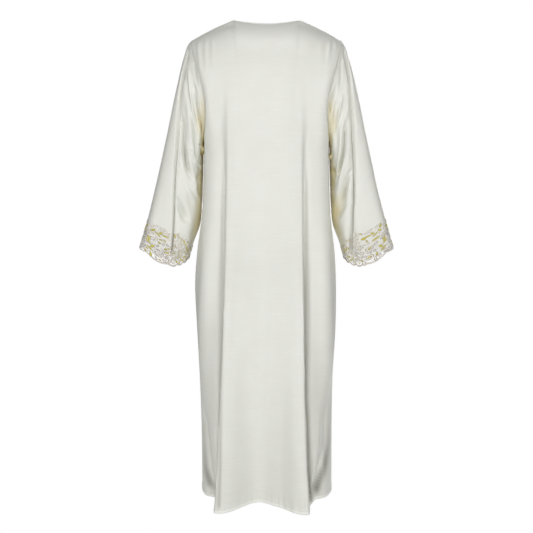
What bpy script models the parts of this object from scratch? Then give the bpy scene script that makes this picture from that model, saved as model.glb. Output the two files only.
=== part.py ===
"""Ivory satin abaya with embroidered lace cuffs, filled out as it hangs when worn.

The origin lies on the centre line, at the height where the shoulder seams meet the neck. +Z is up,
the back faces -Y and the wearer's left sleeve is on the -X side. Lengths are in metres and angles
in degrees. Each cloth piece is a closed wall: a grid of outer points and the same grid moved in.
"""

import math
from collections import namedtuple

import bmesh
import bpy
from mathutils import Vector

# Cloth thickness and the gaps between sewn pieces
SATIN_WALL = 0.0012
LACE_WALL = 0.0010
SEAM_GAP = 0.0003
SAME_PLACE = 1e-6
LACE_GAP = 0.0005

# Neck and shoulders
NECK_HALF_WIDTH = 0.100
NECK_ROUNDNESS = 0.6
SHOULDER_HALF_WIDTH = 0.2268
SHOULDER_DROP = 0.0625
SHOULDER_BULGE = 0.003

# Armholes
UNDERARM_Z = -0.365
ARMHOLE_WIDEST = 0.4545
ARMHOLE_BACK_DEPTH = 0.088
ARMHOLE_FRONT_DEPTH = 0.084
ARMHOLE_SHARE = 10

# Body below the armholes
SECTION_POWER = 2.5
HEM_SIDE_Z = -1.389
HEM_TURN = 0.008
HEM_STEP = 0.001
HEM_EXTRA = 0.0008

# Neck binding
BINDING_HEIGHT = 0.006
BINDING_WALL = 0.0022
BINDING_ROUND = 0.0003

# Sleeves and lace cuffs, as fractions of the sleeve's length
ARMHOLE_REACH = 0.35
CREASE_COLUMN_ANGLE = 60.0
CUFF_BACK_DIP = 0.036
CUFF_FRONT_DIP = 0.022
CUFF_DIP_ANGLE = 12.0
SCALLOPS = 13
SCALLOP_DEPTH = 0.0055
SCALLOP_ROUNDNESS = 0.8
EDGE_CORD_HEIGHT = 0.004
EDGE_CORD_RISE = 0.0006
SPRAY_RISE = 0.0009

# How finely each piece is divided
CAP_ROWS = 12
SKIRT_ROWS = 14
BACK_NECK_COLUMNS = 12
BACK_SHOULDER_COLUMNS = 13
FRONT_NECK_COLUMNS = 12
FRONT_SHOULDER_COLUMNS = 10
LACE_COLUMNS = 72
LACE_ROWS = 8
LACE_ROW_CROWDING = 1.25
NECK_COLUMN_CROWDING = 0.6

# What differs between the back and the front: neck, upper body and hem
PanelSizes = namedtuple("PanelSizes", "neck_drop neck_slope armhole_depth lower_chest hem_z")
BACK_SIZES = PanelSizes(0.024, 0.05, ARMHOLE_BACK_DEPTH, 0.0, -1.415)
FRONT_SIZES = PanelSizes(0.130, 0.25, ARMHOLE_FRONT_DEPTH, 0.25, -1.407)

# The armhole's edge, from the shoulder point down to the underarm
ArmholeRow = namedtuple("ArmholeRow", "z half_width panel_width")
ARMHOLE = (
    ArmholeRow(-0.0625, 0.2268, 0.2268),
    ArmholeRow(-0.1200, 0.2130, 0.2140),
    ArmholeRow(-0.1800, 0.1960, 0.2000),
    ArmholeRow(-0.2500, 0.1795, 0.1895),
    ArmholeRow(-0.3100, 0.1785, 0.1865),
    ArmholeRow(-0.3650, 0.1865, 0.1865),
)

# Half widths and depths of the body's level sections; the first two rows are the armholes' heights
BodyRow = namedtuple("BodyRow", "z left right back front")
BODY = (
    BodyRow(-0.166, 0.1865, 0.1865, 0.121, 0.134),
    BodyRow(-0.270, 0.1865, 0.1865, 0.120, 0.135),
    BodyRow(-0.365, 0.1865, 0.1865, 0.118, 0.130),
    BodyRow(-0.450, 0.1875, 0.1865, 0.119, 0.122),
    BodyRow(-0.585, 0.1935, 0.1915, 0.119, 0.112),
    BodyRow(-0.690, 0.2070, 0.2035, 0.122, 0.115),
    BodyRow(-0.790, 0.2130, 0.2075, 0.136, 0.122),
    BodyRow(-0.924, 0.2065, 0.2055, 0.147, 0.132),
    BodyRow(-1.050, 0.1995, 0.1975, 0.153, 0.142),
    BodyRow(-1.194, 0.1940, 0.1945, 0.157, 0.152),
    BodyRow(-1.389, 0.1910, 0.1935, 0.159, 0.162),
)

# Folds that run down the body: place across, height, reach to each side, and rise from the cloth
BODY_FOLD_FADE = 0.12
SIDE_SEAM_REACH = 0.06
Fold = namedtuple("Fold", "x_top x_end z_top z_end reach_left reach_right rise_top rise_end growth")
BACK_FOLDS = (
    Fold(-0.105, -0.128, -0.20, -1.42, 0.026, 0.042, 0.003, 0.054, 1.7),
    Fold(0.098, 0.104, -0.20, -1.42, 0.044, 0.026, 0.003, 0.052, 1.7),
    Fold(-0.006, -0.013, -0.62, -1.42, 0.046, 0.046, -0.004, -0.034, 1.4),
    Fold(-0.184, -0.160, -1.12, -1.42, 0.012, 0.012, -0.002, -0.014, 1.0),
    Fold(0.190, 0.146, -1.04, -1.42, 0.014, 0.014, -0.002, -0.014, 1.0),
    Fold(0.050, 0.046, -0.98, -1.42, 0.022, 0.022, -0.001, -0.006, 1.0),
)
FRONT_FOLDS = (
    Fold(-0.092, -0.118, -0.30, -1.42, 0.038, 0.030, 0.003, 0.044, 1.6),
    Fold(0.088, 0.122, -0.28, -1.42, 0.030, 0.036, 0.003, 0.040, 1.6),
    Fold(-0.008, 0.006, -0.72, -1.42, 0.030, 0.034, 0.002, 0.022, 1.4),
    Fold(-0.058, -0.060, -0.66, -1.42, 0.026, 0.024, -0.002, -0.022, 1.3),
    Fold(0.052, 0.066, -0.70, -1.42, 0.024, 0.026, -0.002, -0.024, 1.3),
)

# The sleeve's outer line from the shoulder point and its inner line from the underarm point
SleeveRow = namedtuple("SleeveRow", "along outer_x outer_z inner_x inner_z half_depth crease_angle")
SLEEVE = (
    SleeveRow(0.00, 0.2268, -0.0625, 0.1865, -0.365, 0.088, 60.0),
    SleeveRow(0.03, 0.2365, -0.0780, 0.1886, -0.374, 0.086, 55.0),
    SleeveRow(0.09, 0.2460, -0.1140, 0.1890, -0.392, 0.083, 52.0),
    SleeveRow(0.20, 0.2615, -0.1860, 0.1893, -0.425, 0.078, 53.0),
    SleeveRow(0.38, 0.2840, -0.2940, 0.1910, -0.485, 0.071, 58.0),
    SleeveRow(0.56, 0.3090, -0.4000, 0.1935, -0.545, 0.065, 72.0),
    SleeveRow(0.74, 0.3350, -0.5100, 0.1995, -0.606, 0.059, 88.0),
    SleeveRow(0.90, 0.3605, -0.6120, 0.2195, -0.662, 0.052, 102.0),
    SleeveRow(1.00, 0.3785, -0.6720, 0.2325, -0.705, 0.047, 108.0),
)
SATIN_STEPS = (
    *(0.0, 0.025, 0.06, 0.105, 0.16, 0.225, 0.30, 0.38),
    *(0.46, 0.54, 0.62, 0.70, 0.78, 0.86, 0.905, 0.945),
)
LACE_STEPS = (1.0,)

# Folds of a sleeve: angle round it from its outer line over the back, and place along it
SleeveFold = namedtuple("SleeveFold", "angle_start angle_end start end reach rise")
LEFT_SLEEVE_FOLDS = (
    SleeveFold(62.0, 150.0, 0.12, 0.42, 16.0, 0.006),
    SleeveFold(76.0, 168.0, 0.30, 0.60, 16.0, 0.005),
    SleeveFold(96.0, 150.0, 0.06, 0.46, 14.0, -0.007),
    SleeveFold(112.0, 146.0, 0.52, 0.80, 16.0, -0.005),
    SleeveFold(132.0, 138.0, 0.62, 1.00, 18.0, 0.004),
    SleeveFold(296.0, 210.0, 0.10, 0.50, 18.0, 0.006),
    SleeveFold(270.0, 230.0, 0.35, 0.85, 18.0, -0.005),
    SleeveFold(300.0, 292.0, 0.45, 1.00, 18.0, 0.004),
)
RIGHT_SLEEVE_FOLDS = (
    SleeveFold(64.0, 156.0, 0.16, 0.46, 16.0, 0.006),
    SleeveFold(82.0, 164.0, 0.36, 0.66, 16.0, 0.005),
    SleeveFold(98.0, 152.0, 0.04, 0.42, 14.0, -0.007),
    SleeveFold(116.0, 148.0, 0.56, 0.84, 16.0, -0.005),
    SleeveFold(134.0, 140.0, 0.66, 1.00, 18.0, 0.004),
    SleeveFold(290.0, 214.0, 0.14, 0.54, 18.0, 0.006),
    SleeveFold(266.0, 232.0, 0.40, 0.88, 18.0, -0.005),
    SleeveFold(304.0, 294.0, 0.50, 1.00, 18.0, 0.004),
)
CREASE_RISE = 0.007
CREASE_REACH_OUTER = 40.0
CREASE_REACH_INNER = 13.0
CREASE_START = 0.15
LIE_FLAT_REACH = 24.0
SLEEVE_TUCK = 0.014
TUCK_START = 0.12
SLEEVE_FOLD_FADE = 0.10

# Height of the lace above its scalloped edge, by the angle round the cuff
LaceRow = namedtuple("LaceRow", "angle height")
LACE_TOP = (
    LaceRow(0.0, 0.078),
    LaceRow(35.0, 0.092),
    LaceRow(70.0, 0.098),
    LaceRow(92.0, 0.084),
    LaceRow(112.0, 0.068),
    LaceRow(135.0, 0.048),
    LaceRow(160.0, 0.036),
    LaceRow(195.0, 0.038),
    LaceRow(225.0, 0.056),
    LaceRow(260.0, 0.080),
    LaceRow(295.0, 0.096),
    LaceRow(330.0, 0.086),
    LaceRow(360.0, 0.078),
)
LACE_TOP_WAVES = 11
LACE_TOP_WAVE = 0.003

# Flower heads and leaves of the embroidery: place round the cuff, height over its edge and size
Spray = namedtuple("Spray", "angle height length width lean")
SPRAYS = (
    Spray(12.0, 0.060, 0.018, 0.009, 60.0),
    Spray(30.0, 0.030, 0.022, 0.009, 110.0),
    Spray(40.0, 0.074, 0.020, 0.010, 20.0),
    Spray(62.0, 0.050, 0.014, 0.014, 0.0),
    Spray(70.0, 0.020, 0.014, 0.014, 0.0),
    Spray(92.0, 0.038, 0.016, 0.016, 0.0),
    Spray(104.0, 0.014, 0.022, 0.009, 15.0),
    Spray(122.0, 0.034, 0.020, 0.009, 140.0),
    Spray(150.0, 0.020, 0.014, 0.012, 0.0),
    Spray(205.0, 0.018, 0.014, 0.012, 0.0),
    Spray(232.0, 0.032, 0.020, 0.009, 40.0),
    Spray(254.0, 0.016, 0.022, 0.009, 165.0),
    Spray(268.0, 0.044, 0.016, 0.016, 0.0),
    Spray(288.0, 0.072, 0.020, 0.010, 160.0),
    Spray(298.0, 0.026, 0.014, 0.014, 0.0),
    Spray(322.0, 0.034, 0.022, 0.009, 70.0),
    Spray(340.0, 0.062, 0.018, 0.009, 120.0),
)

# Colours, as linear values
IVORY_SATIN = (0.78, 0.77, 0.69)
IVORY_BINDING = (0.83, 0.82, 0.75)
LACE_WHITE = (0.80, 0.76, 0.66)
SATIN_ROUGHNESS = 0.42
LACE_ROUGHNESS = 0.75
SHARP_ANGLE = 50.0


def clear_scene():
    """Removes whatever the file holds."""
    for item in list(bpy.data.objects):
        bpy.data.objects.remove(item)


def cloth_material(name, colour, roughness):
    """A plain cloth material."""
    material = bpy.data.materials.new(name)
    material.use_nodes = True
    shader = material.node_tree.nodes["Principled BSDF"]
    shader.inputs["Base Color"].default_value = (*colour, 1.0)
    shader.inputs["Roughness"].default_value = roughness
    shader.inputs["Metallic"].default_value = 0.0
    return material


def read_off(table, key, column, at):
    """The value of a table's column at a place between its rows, along a smooth curve."""
    places = [getattr(row, key) for row in table]
    values = [getattr(row, column) for row in table]
    if places[0] > places[-1]:
        places = [-place for place in places]
        at = -at
    at = min(max(at, places[0]), places[-1])
    last = len(places) - 2
    index = min(sum(place <= at for place in places[1:-1]), last)

    def slope(row):
        before = max(row - 1, 0)
        after = min(row + 1, last + 1)
        return (values[after] - values[before]) / (places[after] - places[before])

    span = places[index + 1] - places[index]
    part = (at - places[index]) / span
    start_weight = 2 * part**3 - 3 * part**2 + 1
    start_slope_weight = part**3 - 2 * part**2 + part
    end_weight = 3 * part**2 - 2 * part**3
    end_slope_weight = part**3 - part**2
    ends = start_weight * values[index] + end_weight * values[index + 1]
    return ends + span * (start_slope_weight * slope(index) + end_slope_weight * slope(index + 1))


def ease(part):
    """0 up to 0, 1 from 1 on, and a smooth rise between."""
    part = min(max(part, 0.0), 1.0)
    return part * part * (3 - 2 * part)


def hump(distance, reach):
    """A soft rise that is 1 at its middle and fades out at about twice its reach."""
    return math.exp(-((distance / reach) ** 2))


def body_fold_rise(folds, x, z):
    """How far the folds lift the cloth of a body panel at a place across it and a height."""
    total = 0.0
    for fold in folds:
        part = min(max((z - fold.z_top) / (fold.z_end - fold.z_top), 0.0), 1.0)
        middle = fold.x_top + (fold.x_end - fold.x_top) * part
        distance = x - middle
        reach = fold.reach_left if distance < 0 else fold.reach_right
        rise = fold.rise_top + (fold.rise_end - fold.rise_top) * part**fold.growth
        start = ease((fold.z_top - z) / BODY_FOLD_FADE + 0.5)
        total += rise * hump(distance, reach) * start
    return total


def sleeve_fold_rise(folds, angle, along):
    """How far the folds and the crease lift a sleeve's cloth, which lies flat beside the body."""
    total = 0.0
    for fold in folds:
        part = min(max((along - fold.start) / (fold.end - fold.start), 0.0), 1.0)
        middle = fold.angle_start + (fold.angle_end - fold.angle_start) * part
        fade_in = ease((along - fold.start) / SLEEVE_FOLD_FADE)
        past_end = (fold.end - along) / SLEEVE_FOLD_FADE + 1
        fade_out = 1.0 if fold.end >= 1.0 else ease(past_end)
        total += fold.rise * hump(angle - middle, fold.reach) * fade_in * fade_out
    crease = read_off(SLEEVE, "along", "crease_angle", along)
    distance = angle - crease
    reach = CREASE_REACH_OUTER if distance < 0 else CREASE_REACH_INNER
    total += CREASE_RISE * hump(distance, reach) * ease(along / CREASE_START)
    return total * (1 - hump(angle - 180.0, LIE_FLAT_REACH))


def cap_angles():
    """The angles that place the rows between the shoulder and the underarm, 0 at the top."""
    return [180.0 * row / CAP_ROWS for row in range(CAP_ROWS + 1)]


def cap_fall(angle):
    """How far down from its top edge to the underarm a row lies, from 0 to 1."""
    turn = math.cos(math.radians(angle))
    if angle <= 90.0:
        return ARMHOLE_WIDEST * (1 - turn)
    return ARMHOLE_WIDEST - (1 - ARMHOLE_WIDEST) * turn


def armhole_point(angle, depth):
    """A point of the right armhole's edge; depth is its reach towards the back (-) or front (+)."""
    z = -SHOULDER_DROP + (UNDERARM_Z + SHOULDER_DROP) * cap_fall(angle)
    half_width = read_off(ARMHOLE, "z", "half_width", z)
    return Vector((half_width, depth * math.sin(math.radians(angle)), z))


def column_places(neck_columns, shoulder_columns):
    """Places across a panel from -1 to 1, with one on each end of the neck."""
    neck_end = NECK_HALF_WIDTH / SHOULDER_HALF_WIDTH
    start_angle = math.degrees(math.asin(neck_end ** (SECTION_POWER / 2)))
    outer = []
    for column in range(1, shoulder_columns + 1):
        angle = start_angle + (90.0 - start_angle) * column / shoulder_columns
        outer.append(math.sin(math.radians(angle)) ** (2 / SECTION_POWER))
    inner = []
    for column in range(neck_columns + 1):
        part = 2 * column / neck_columns - 1
        crowded = math.sin(math.radians(90 * part))
        inner.append(neck_end * (part + (crowded - part) * NECK_COLUMN_CROWDING))
    return [-place for place in reversed(outer)] + inner + outer


def shoulder_height(place):
    """Height of the shoulder seam's line, which runs on level over the neck's opening."""
    x = abs(place) * SHOULDER_HALF_WIDTH
    part = max((x - NECK_HALF_WIDTH) / (SHOULDER_HALF_WIDTH - NECK_HALF_WIDTH), 0.0)
    return SHOULDER_BULGE * math.sin(math.pi * part) - SHOULDER_DROP * part


def inside_neck(place):
    """0 at the neck's ends and beyond them, and 1 on the centre line."""
    x = place * SHOULDER_HALF_WIDTH
    return max(1 - (x / NECK_HALF_WIDTH) ** 2, 0.0)


def section_share(place):
    """The share of its middle's depth that a level section has at a place across it."""
    return (1 - min(abs(place), 1.0) ** SECTION_POWER) ** (1 / SECTION_POWER)


def panel_base(columns, depth_column, sizes, side):
    """Outer points of a body panel before its folds. side is -1 for the back and 1 for the front."""
    rows = []
    armhole_depth = sizes.armhole_depth
    for angle in cap_angles():
        fall = cap_fall(angle)
        edge = armhole_point(angle, armhole_depth)
        below = ease((fall - ARMHOLE_WIDEST) / (1 - ARMHOLE_WIDEST))
        middle_depth = read_off(BODY, "z", depth_column, UNDERARM_Z * fall)
        panel_width = read_off(ARMHOLE, "z", "panel_width", edge.z)
        seam_depth = armhole_depth if angle <= 90.0 else edge.y
        row = []
        for place in columns:
            seam_z = shoulder_height(place)
            inside = inside_neck(place)
            top_z = seam_z - sizes.neck_drop * inside**NECK_ROUNDNESS
            z = top_z + (UNDERARM_Z - top_z) * fall
            edge_share = abs(place) ** ARMHOLE_SHARE
            edge_depth = armhole_depth * (1 - below) * (1 - edge_share) + seam_depth * edge_share
            full = edge_depth + (middle_depth - edge_depth) * section_share(place)
            reach = (seam_z - UNDERARM_Z) * (ARMHOLE_WIDEST + sizes.lower_chest * (1 - place**2))
            lean = min((seam_z - z) / reach, 1.0)
            rise = (1 - (1 - lean) ** 2) ** (0.5 + sizes.neck_slope * inside**2)
            half_width = panel_width * (1 - edge_share) + edge.x * edge_share
            row.append(Vector((half_width * place, side * full * rise, z)))
        rows.append(row)
    for step in skirt_steps()[1:]:
        row = []
        side_z = UNDERARM_Z + (HEM_SIDE_Z - UNDERARM_Z) * step
        widths = [read_off(BODY, "z", column, side_z) for column in ("left", "right")]
        middle_depth = read_off(BODY, "z", depth_column, side_z)
        for place in columns:
            half_width = widths[0] if place < 0 else widths[1]
            section = section_share(place)
            end_z = HEM_SIDE_Z + (sizes.hem_z - HEM_SIDE_Z) * section
            z = UNDERARM_Z + (end_z - UNDERARM_Z) * step
            row.append(Vector((half_width * place, side * middle_depth * section, z)))
        rows.append(row)
    return rows


def skirt_steps():
    """Places of the rows from the underarm to the hem, with two close rows at the turned hem."""
    length = UNDERARM_Z - HEM_SIDE_Z
    above_turn = 1 - (HEM_TURN + HEM_STEP) / length
    steps = [above_turn * row / SKIRT_ROWS for row in range(SKIRT_ROWS + 1)]
    return steps + [1 - HEM_TURN / length, 1.0]


def grid_normals(rows, outward, closed):
    """Unit vectors square to a grid's surface. outward is 1 or -1, by the grid's own direction."""
    count = len(rows[0])
    normals = []
    for down in range(len(rows)):
        above = rows[max(down - 1, 0)]
        below = rows[min(down + 1, len(rows) - 1)]
        line = []
        for across in range(count):
            if closed:
                left = rows[down][across - 1]
                right = rows[down][(across + 1) % count]
            else:
                left = rows[down][max(across - 1, 0)]
                right = rows[down][min(across + 1, count - 1)]
            square = (below[across] - above[across]).cross(right - left)
            line.append(square.normalized() * outward)
        normals.append(line)
    return normals


def moved(rows, normals, distances):
    """The grid's points moved along their normals, by one distance for each row."""
    return [
        [point + normal * distance for point, normal in zip(row, line)]
        for row, line, distance in zip(rows, normals, distances)
    ]


def wall_mesh(name, outer, inner, closed):
    """A closed wall between two grids of the same columns, each of two or more rows."""
    mesh = bpy.data.meshes.new(name)
    shape = bmesh.new()
    skins = [[[shape.verts.new(point) for point in row] for row in grid] for grid in (outer, inner)]
    count = len(outer[0])
    columns = range(count if closed else count - 1)
    for grid in skins:
        for upper, lower in zip(grid, grid[1:]):
            for across in columns:
                following = (across + 1) % count
                shape.faces.new((upper[across], lower[across], lower[following]))
                shape.faces.new((upper[across], lower[following], upper[following]))
    for end in (0, -1):
        edge, facing = skins[0][end], skins[1][end]
        for across in columns:
            following = (across + 1) % count
            shape.faces.new((edge[across], edge[following], facing[following], facing[across]))
    if not closed:
        for end in (0, -1):
            edge = [row[end] for row in skins[0]]
            facing = [row[end] for row in skins[1]]
            for down in range(len(edge) - 1):
                shape.faces.new((edge[down], edge[down + 1], facing[down + 1], facing[down]))
    bmesh.ops.recalc_face_normals(shape, faces=shape.faces)
    shape.to_mesh(mesh)
    shape.free()
    mesh.shade_smooth()
    mesh.set_sharp_from_angle(angle=math.radians(SHARP_ANGLE))
    return mesh


def place_piece(name, mesh, material):
    """Adds one piece of the garment to the scene."""
    piece = bpy.data.objects.new(name, mesh)
    bpy.context.scene.collection.objects.link(piece)
    mesh.materials.append(material)
    return piece


def panel_grid(columns, depth_column, sizes, folds, side):
    """Outer points of a body panel with its folds, half a seam's gap clear of the other panel."""
    base = panel_base(columns, depth_column, sizes, side)
    normals = grid_normals(base, -side, False)
    rows = []
    for row, line in zip(base, normals):
        lifted = []
        for place, point, normal in zip(columns, row, line):
            edge_mask = ease((1 - abs(place)) / SIDE_SEAM_REACH)
            rise = body_fold_rise(folds, point.x, point.z) * edge_mask
            lifted.append(point + normal * rise)
        rows.append(lifted)
    for row in rows:
        for point in row:
            point.y += side * SEAM_GAP / 2
    return rows


def panel_wall(columns, rows, side):
    """The inner points of a body panel, with its edges square to the seams and its hem turned."""
    normals = grid_normals(rows, -side, False)
    neck_end = NECK_HALF_WIDTH / SHOULDER_HALF_WIDTH
    for index, line in enumerate(normals):
        for column, place in enumerate(columns):
            on_shoulder = index == 0 and abs(place) > neck_end - SAME_PLACE
            on_side = index >= CAP_ROWS and abs(place) > 1 - SAME_PLACE
            if on_shoulder or on_side:
                flat = line[column].copy()
                flat.y = 0.0
                line[column] = flat.normalized()
    turned = len(rows) - 2
    distances = [-(SATIN_WALL + (HEM_EXTRA if index >= turned else 0.0)) for index in range(len(rows))]
    return moved(rows, normals, distances), normals


def sleeve_angles():
    """Angles round a sleeve, matching the rows of both armhole edges."""
    return [180.0 * step / CAP_ROWS for step in range(2 * CAP_ROWS)]


def turned_angle(angle, along):
    """The angle, moved so that one column of points follows the long crease."""
    shift = read_off(SLEEVE, "along", "crease_angle", along) - CREASE_COLUMN_ANGLE
    if angle > 180.0:
        return angle
    if angle <= CREASE_COLUMN_ANGLE:
        return angle + shift * angle / CREASE_COLUMN_ANGLE
    return angle + shift * (180.0 - angle) / (180.0 - CREASE_COLUMN_ANGLE)


def sleeve_ring_point(angle, along):
    """A point of the right sleeve's plain oval ring, at a place along the sleeve."""
    columns = ("outer_x", "outer_z", "inner_x", "inner_z", "half_depth")
    outer_x, outer_z, inner_x, inner_z, half_depth = [
        read_off(SLEEVE, "along", column, along) for column in columns
    ]
    outer = Vector((outer_x, 0, outer_z))
    inner = Vector((inner_x, 0, inner_z))
    turn = math.radians(angle)
    point = (outer + inner) / 2 + (outer - inner) / 2 * math.cos(turn)
    tuck = SLEEVE_TUCK * ease(along / TUCK_START) * (1 - math.cos(turn)) / 2
    point.y = -half_depth * math.sin(turn) + tuck
    dip = CUFF_BACK_DIP if angle <= 180.0 else CUFF_FRONT_DIP
    lean = math.radians(angle - CUFF_DIP_ANGLE * math.sin(turn))
    point.z -= dip * math.sin(lean) ** 2 * along**3
    return point


def sleeve_grid(folds, steps):
    """Outer points of the right sleeve with its folds, from the armhole to the lace's edge."""
    angles = sleeve_angles()
    base = []
    for along in steps:
        hold = max(1 - along / ARMHOLE_REACH, 0.0) ** 2
        ring = []
        for angle in angles:
            depth = -ARMHOLE_BACK_DEPTH if angle <= 180.0 else ARMHOLE_FRONT_DEPTH
            around = angle if angle <= 180.0 else 360.0 - angle
            seam = armhole_point(around, depth) - sleeve_ring_point(angle, 0.0)
            point = sleeve_ring_point(turned_angle(angle, along), along) + seam * hold
            point.x += SEAM_GAP
            ring.append(point)
        base.append(ring)
    normals = grid_normals(base, -1, True)
    rows = []
    for along, ring, line in zip(steps, base, normals):
        lifted = []
        for angle, point, normal in zip(angles, ring, line):
            rise = sleeve_fold_rise(folds, turned_angle(angle, along), along)
            lifted.append(point + normal * rise)
        rows.append(lifted)
    return rows


def sleeve_inner(rows):
    """Inner points of the sleeve's wall. Its first ring stays square to the armhole's seam."""
    normals = grid_normals(rows, -1, True)
    for index, normal in enumerate(normals[0]):
        flat = Vector((0.0, normal.y, normal.z))
        normals[0][index] = flat.normalized()
    return moved(rows, normals, [-SATIN_WALL] * len(rows))


def mirrored(rows):
    """The same grid on the other side of the centre line."""
    return [[Vector((-point.x, point.y, point.z)) for point in row] for row in rows]


def between(rows, steps, along, column):
    """A point on the triangles of a closed grid, or straight on past its last row."""
    count = len(rows[0])
    upper = min(sum(step <= along for step in steps[1:-1]), len(steps) - 2)
    part = (along - steps[upper]) / (steps[upper + 1] - steps[upper])
    left = int(column) % count
    right = (left + 1) % count
    share = column - int(column)
    high_left, high_right = rows[upper][left], rows[upper][right]
    low_left, low_right = rows[upper + 1][left], rows[upper + 1][right]
    if part >= share:
        return high_left + (low_left - high_left) * part + (low_right - low_left) * share
    return high_left + (high_right - high_left) * share + (low_right - high_right) * part


def lace_height(angle):
    """Height of the lace's cut upper edge above its scallops."""
    plain = read_off(LACE_TOP, "angle", "height", angle)
    return plain + LACE_TOP_WAVE * math.sin(math.radians(angle * LACE_TOP_WAVES))


def scallop_reach(angle):
    """How far the scallops hang below the cuff's plain edge, deepest in the middle of each."""
    wave = abs(math.sin(math.radians(angle * SCALLOPS / 2)))
    return SCALLOP_DEPTH * wave**SCALLOP_ROUNDNESS


def spray_rise(across, height, girth):
    """The raised embroidery at a place on the cuff."""
    total = 0.0
    for spray in SPRAYS:
        along = across - spray.angle / 360.0 * girth
        along -= girth * round(along / girth)
        up = height - spray.height
        lean = math.radians(spray.lean)
        length_part = (along * math.cos(lean) + up * math.sin(lean)) / (spray.length / 2)
        width_part = (up * math.cos(lean) - along * math.sin(lean)) / (spray.width / 2)
        total = max(total, math.exp(-(length_part**2) - width_part**2))
    return SPRAY_RISE * total


def lace_wall(rows, steps):
    """Outer and inner points of a lace cuff, made from the sleeve's own points, moved out."""
    normals = grid_normals(rows, -1, True)
    count = len(rows[0])
    girth = sum((rows[-1][k] - rows[-1][k - 1]).length for k in range(count))
    outer = [[] for _ in range(LACE_ROWS + 1)]
    inner = [[] for _ in range(LACE_ROWS + 1)]
    for step in range(LACE_COLUMNS):
        column = count * step / LACE_COLUMNS
        angle = 360.0 * step / LACE_COLUMNS
        end = between(rows, steps, 1.0, column)
        above_end = between(rows, steps, SATIN_STEPS[-1], column)
        length = (end - above_end).length / (1.0 - SATIN_STEPS[-1])
        top = lace_height(angle)
        foot = -scallop_reach(angle)
        for row in range(LACE_ROWS + 1):
            part = row / LACE_ROWS
            height = top + (foot - top) * (1 - (1 - part) ** LACE_ROW_CROWDING)
            along = 1.0 - height / length
            point = between(rows, steps, along, column)
            normal = between(normals, steps, min(along, 1.0), column).normalized()
            rise = spray_rise(angle / 360.0 * girth, height, girth)
            over_cord = (height - foot) / EDGE_CORD_HEIGHT
            rise += EDGE_CORD_RISE * ease(1.5 - over_cord)
            inner[row].append(point + normal * LACE_GAP)
            outer[row].append(point + normal * (LACE_GAP + LACE_WALL + rise))
    return outer, inner


def neck_ring(back_columns, back_rows, back_normals, front_columns, front_rows, front_normals):
    """The neck's edge points, in order round it, each with the vector square to the cloth there."""
    neck_end = NECK_HALF_WIDTH / SHOULDER_HALF_WIDTH + SAME_PLACE
    back = [
        (point, normal)
        for place, point, normal in zip(back_columns, back_rows[0], back_normals[0])
        if abs(place) < neck_end
    ]
    front = [
        (point, normal)
        for place, point, normal in zip(front_columns, front_rows[0], front_normals[0])
        if abs(place) < neck_end
    ]
    ring = back[:-1]
    corner_right = ((back[-1][0] + front[-1][0]) / 2, (back[-1][1] + front[-1][1]).normalized())
    corner_left = ((back[0][0] + front[0][0]) / 2, (back[0][1] + front[0][1]).normalized())
    ring[0] = corner_left
    ring.append(corner_right)
    ring.extend(reversed(front[1:-1]))
    return ring


def binding_mesh(ring):
    """The narrow binding that stands on the neck's edge, a rounded strip all the way round."""
    count = len(ring)
    outer, inner = [[], [], []], [[], [], []]
    for index, (point, normal) in enumerate(ring):
        ahead = ring[(index + 1) % count][0] - ring[index - 1][0]
        rising = normal.cross(ahead).normalized()
        if rising.z < 0:
            rising = -rising
        middle = point - normal * SATIN_WALL / 2
        levels = (SEAM_GAP, SEAM_GAP + BINDING_HEIGHT / 2, SEAM_GAP + BINDING_HEIGHT)
        bulges = (0.0, BINDING_ROUND, 0.0)
        for row, (level, bulge) in enumerate(zip(levels, bulges)):
            half = BINDING_WALL / 2 + bulge
            outer[2 - row].append(middle + rising * level + normal * half)
            inner[2 - row].append(middle + rising * level - normal * half)
    return wall_mesh("neck_binding", outer, inner, True)


def build_body(satin, binding):
    """The back, the front and the neck's binding."""
    back_columns = column_places(BACK_NECK_COLUMNS, BACK_SHOULDER_COLUMNS)
    front_columns = column_places(FRONT_NECK_COLUMNS, FRONT_SHOULDER_COLUMNS)
    back_rows = panel_grid(back_columns, "back", BACK_SIZES, BACK_FOLDS, -1)
    front_rows = panel_grid(front_columns, "front", FRONT_SIZES, FRONT_FOLDS, 1)
    back_inner, back_normals = panel_wall(back_columns, back_rows, -1)
    front_inner, front_normals = panel_wall(front_columns, front_rows, 1)
    place_piece("back_panel", wall_mesh("back_panel", back_rows, back_inner, False), satin)
    place_piece("front_panel", wall_mesh("front_panel", front_rows, front_inner, False), satin)
    ring = neck_ring(back_columns, back_rows, back_normals, front_columns, front_rows, front_normals)
    place_piece("neck_binding", binding_mesh(ring), binding)


def build_sleeve(side, folds, satin, lace):
    """One sleeve and its lace cuff. The left one is built on the right and turned over."""
    steps = SATIN_STEPS + LACE_STEPS
    rows = sleeve_grid(folds, steps)
    satin_rows = rows[: len(SATIN_STEPS)]
    satin_inner = sleeve_inner(satin_rows)
    lace_outer, lace_inner = lace_wall(rows, steps)
    grids = [satin_rows, satin_inner, lace_outer, lace_inner]
    if side == "left":
        grids = [mirrored(grid) for grid in grids]
    sleeve_mesh = wall_mesh("sleeve_" + side, grids[0], grids[1], True)
    lace_mesh = wall_mesh("lace_cuff_" + side, grids[2], grids[3], True)
    place_piece("sleeve_" + side, sleeve_mesh, satin)
    place_piece("lace_cuff_" + side, lace_mesh, lace)


def main():
    """Builds the whole garment."""
    clear_scene()
    satin = cloth_material("ivory_satin", IVORY_SATIN, SATIN_ROUGHNESS)
    binding = cloth_material("ivory_binding", IVORY_BINDING, SATIN_ROUGHNESS)
    lace = cloth_material("embroidered_lace", LACE_WHITE, LACE_ROUGHNESS)
    build_body(satin, binding)
    build_sleeve("left", LEFT_SLEEVE_FOLDS, satin, lace)
    build_sleeve("right", RIGHT_SLEEVE_FOLDS, satin, lace)


main()
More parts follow.
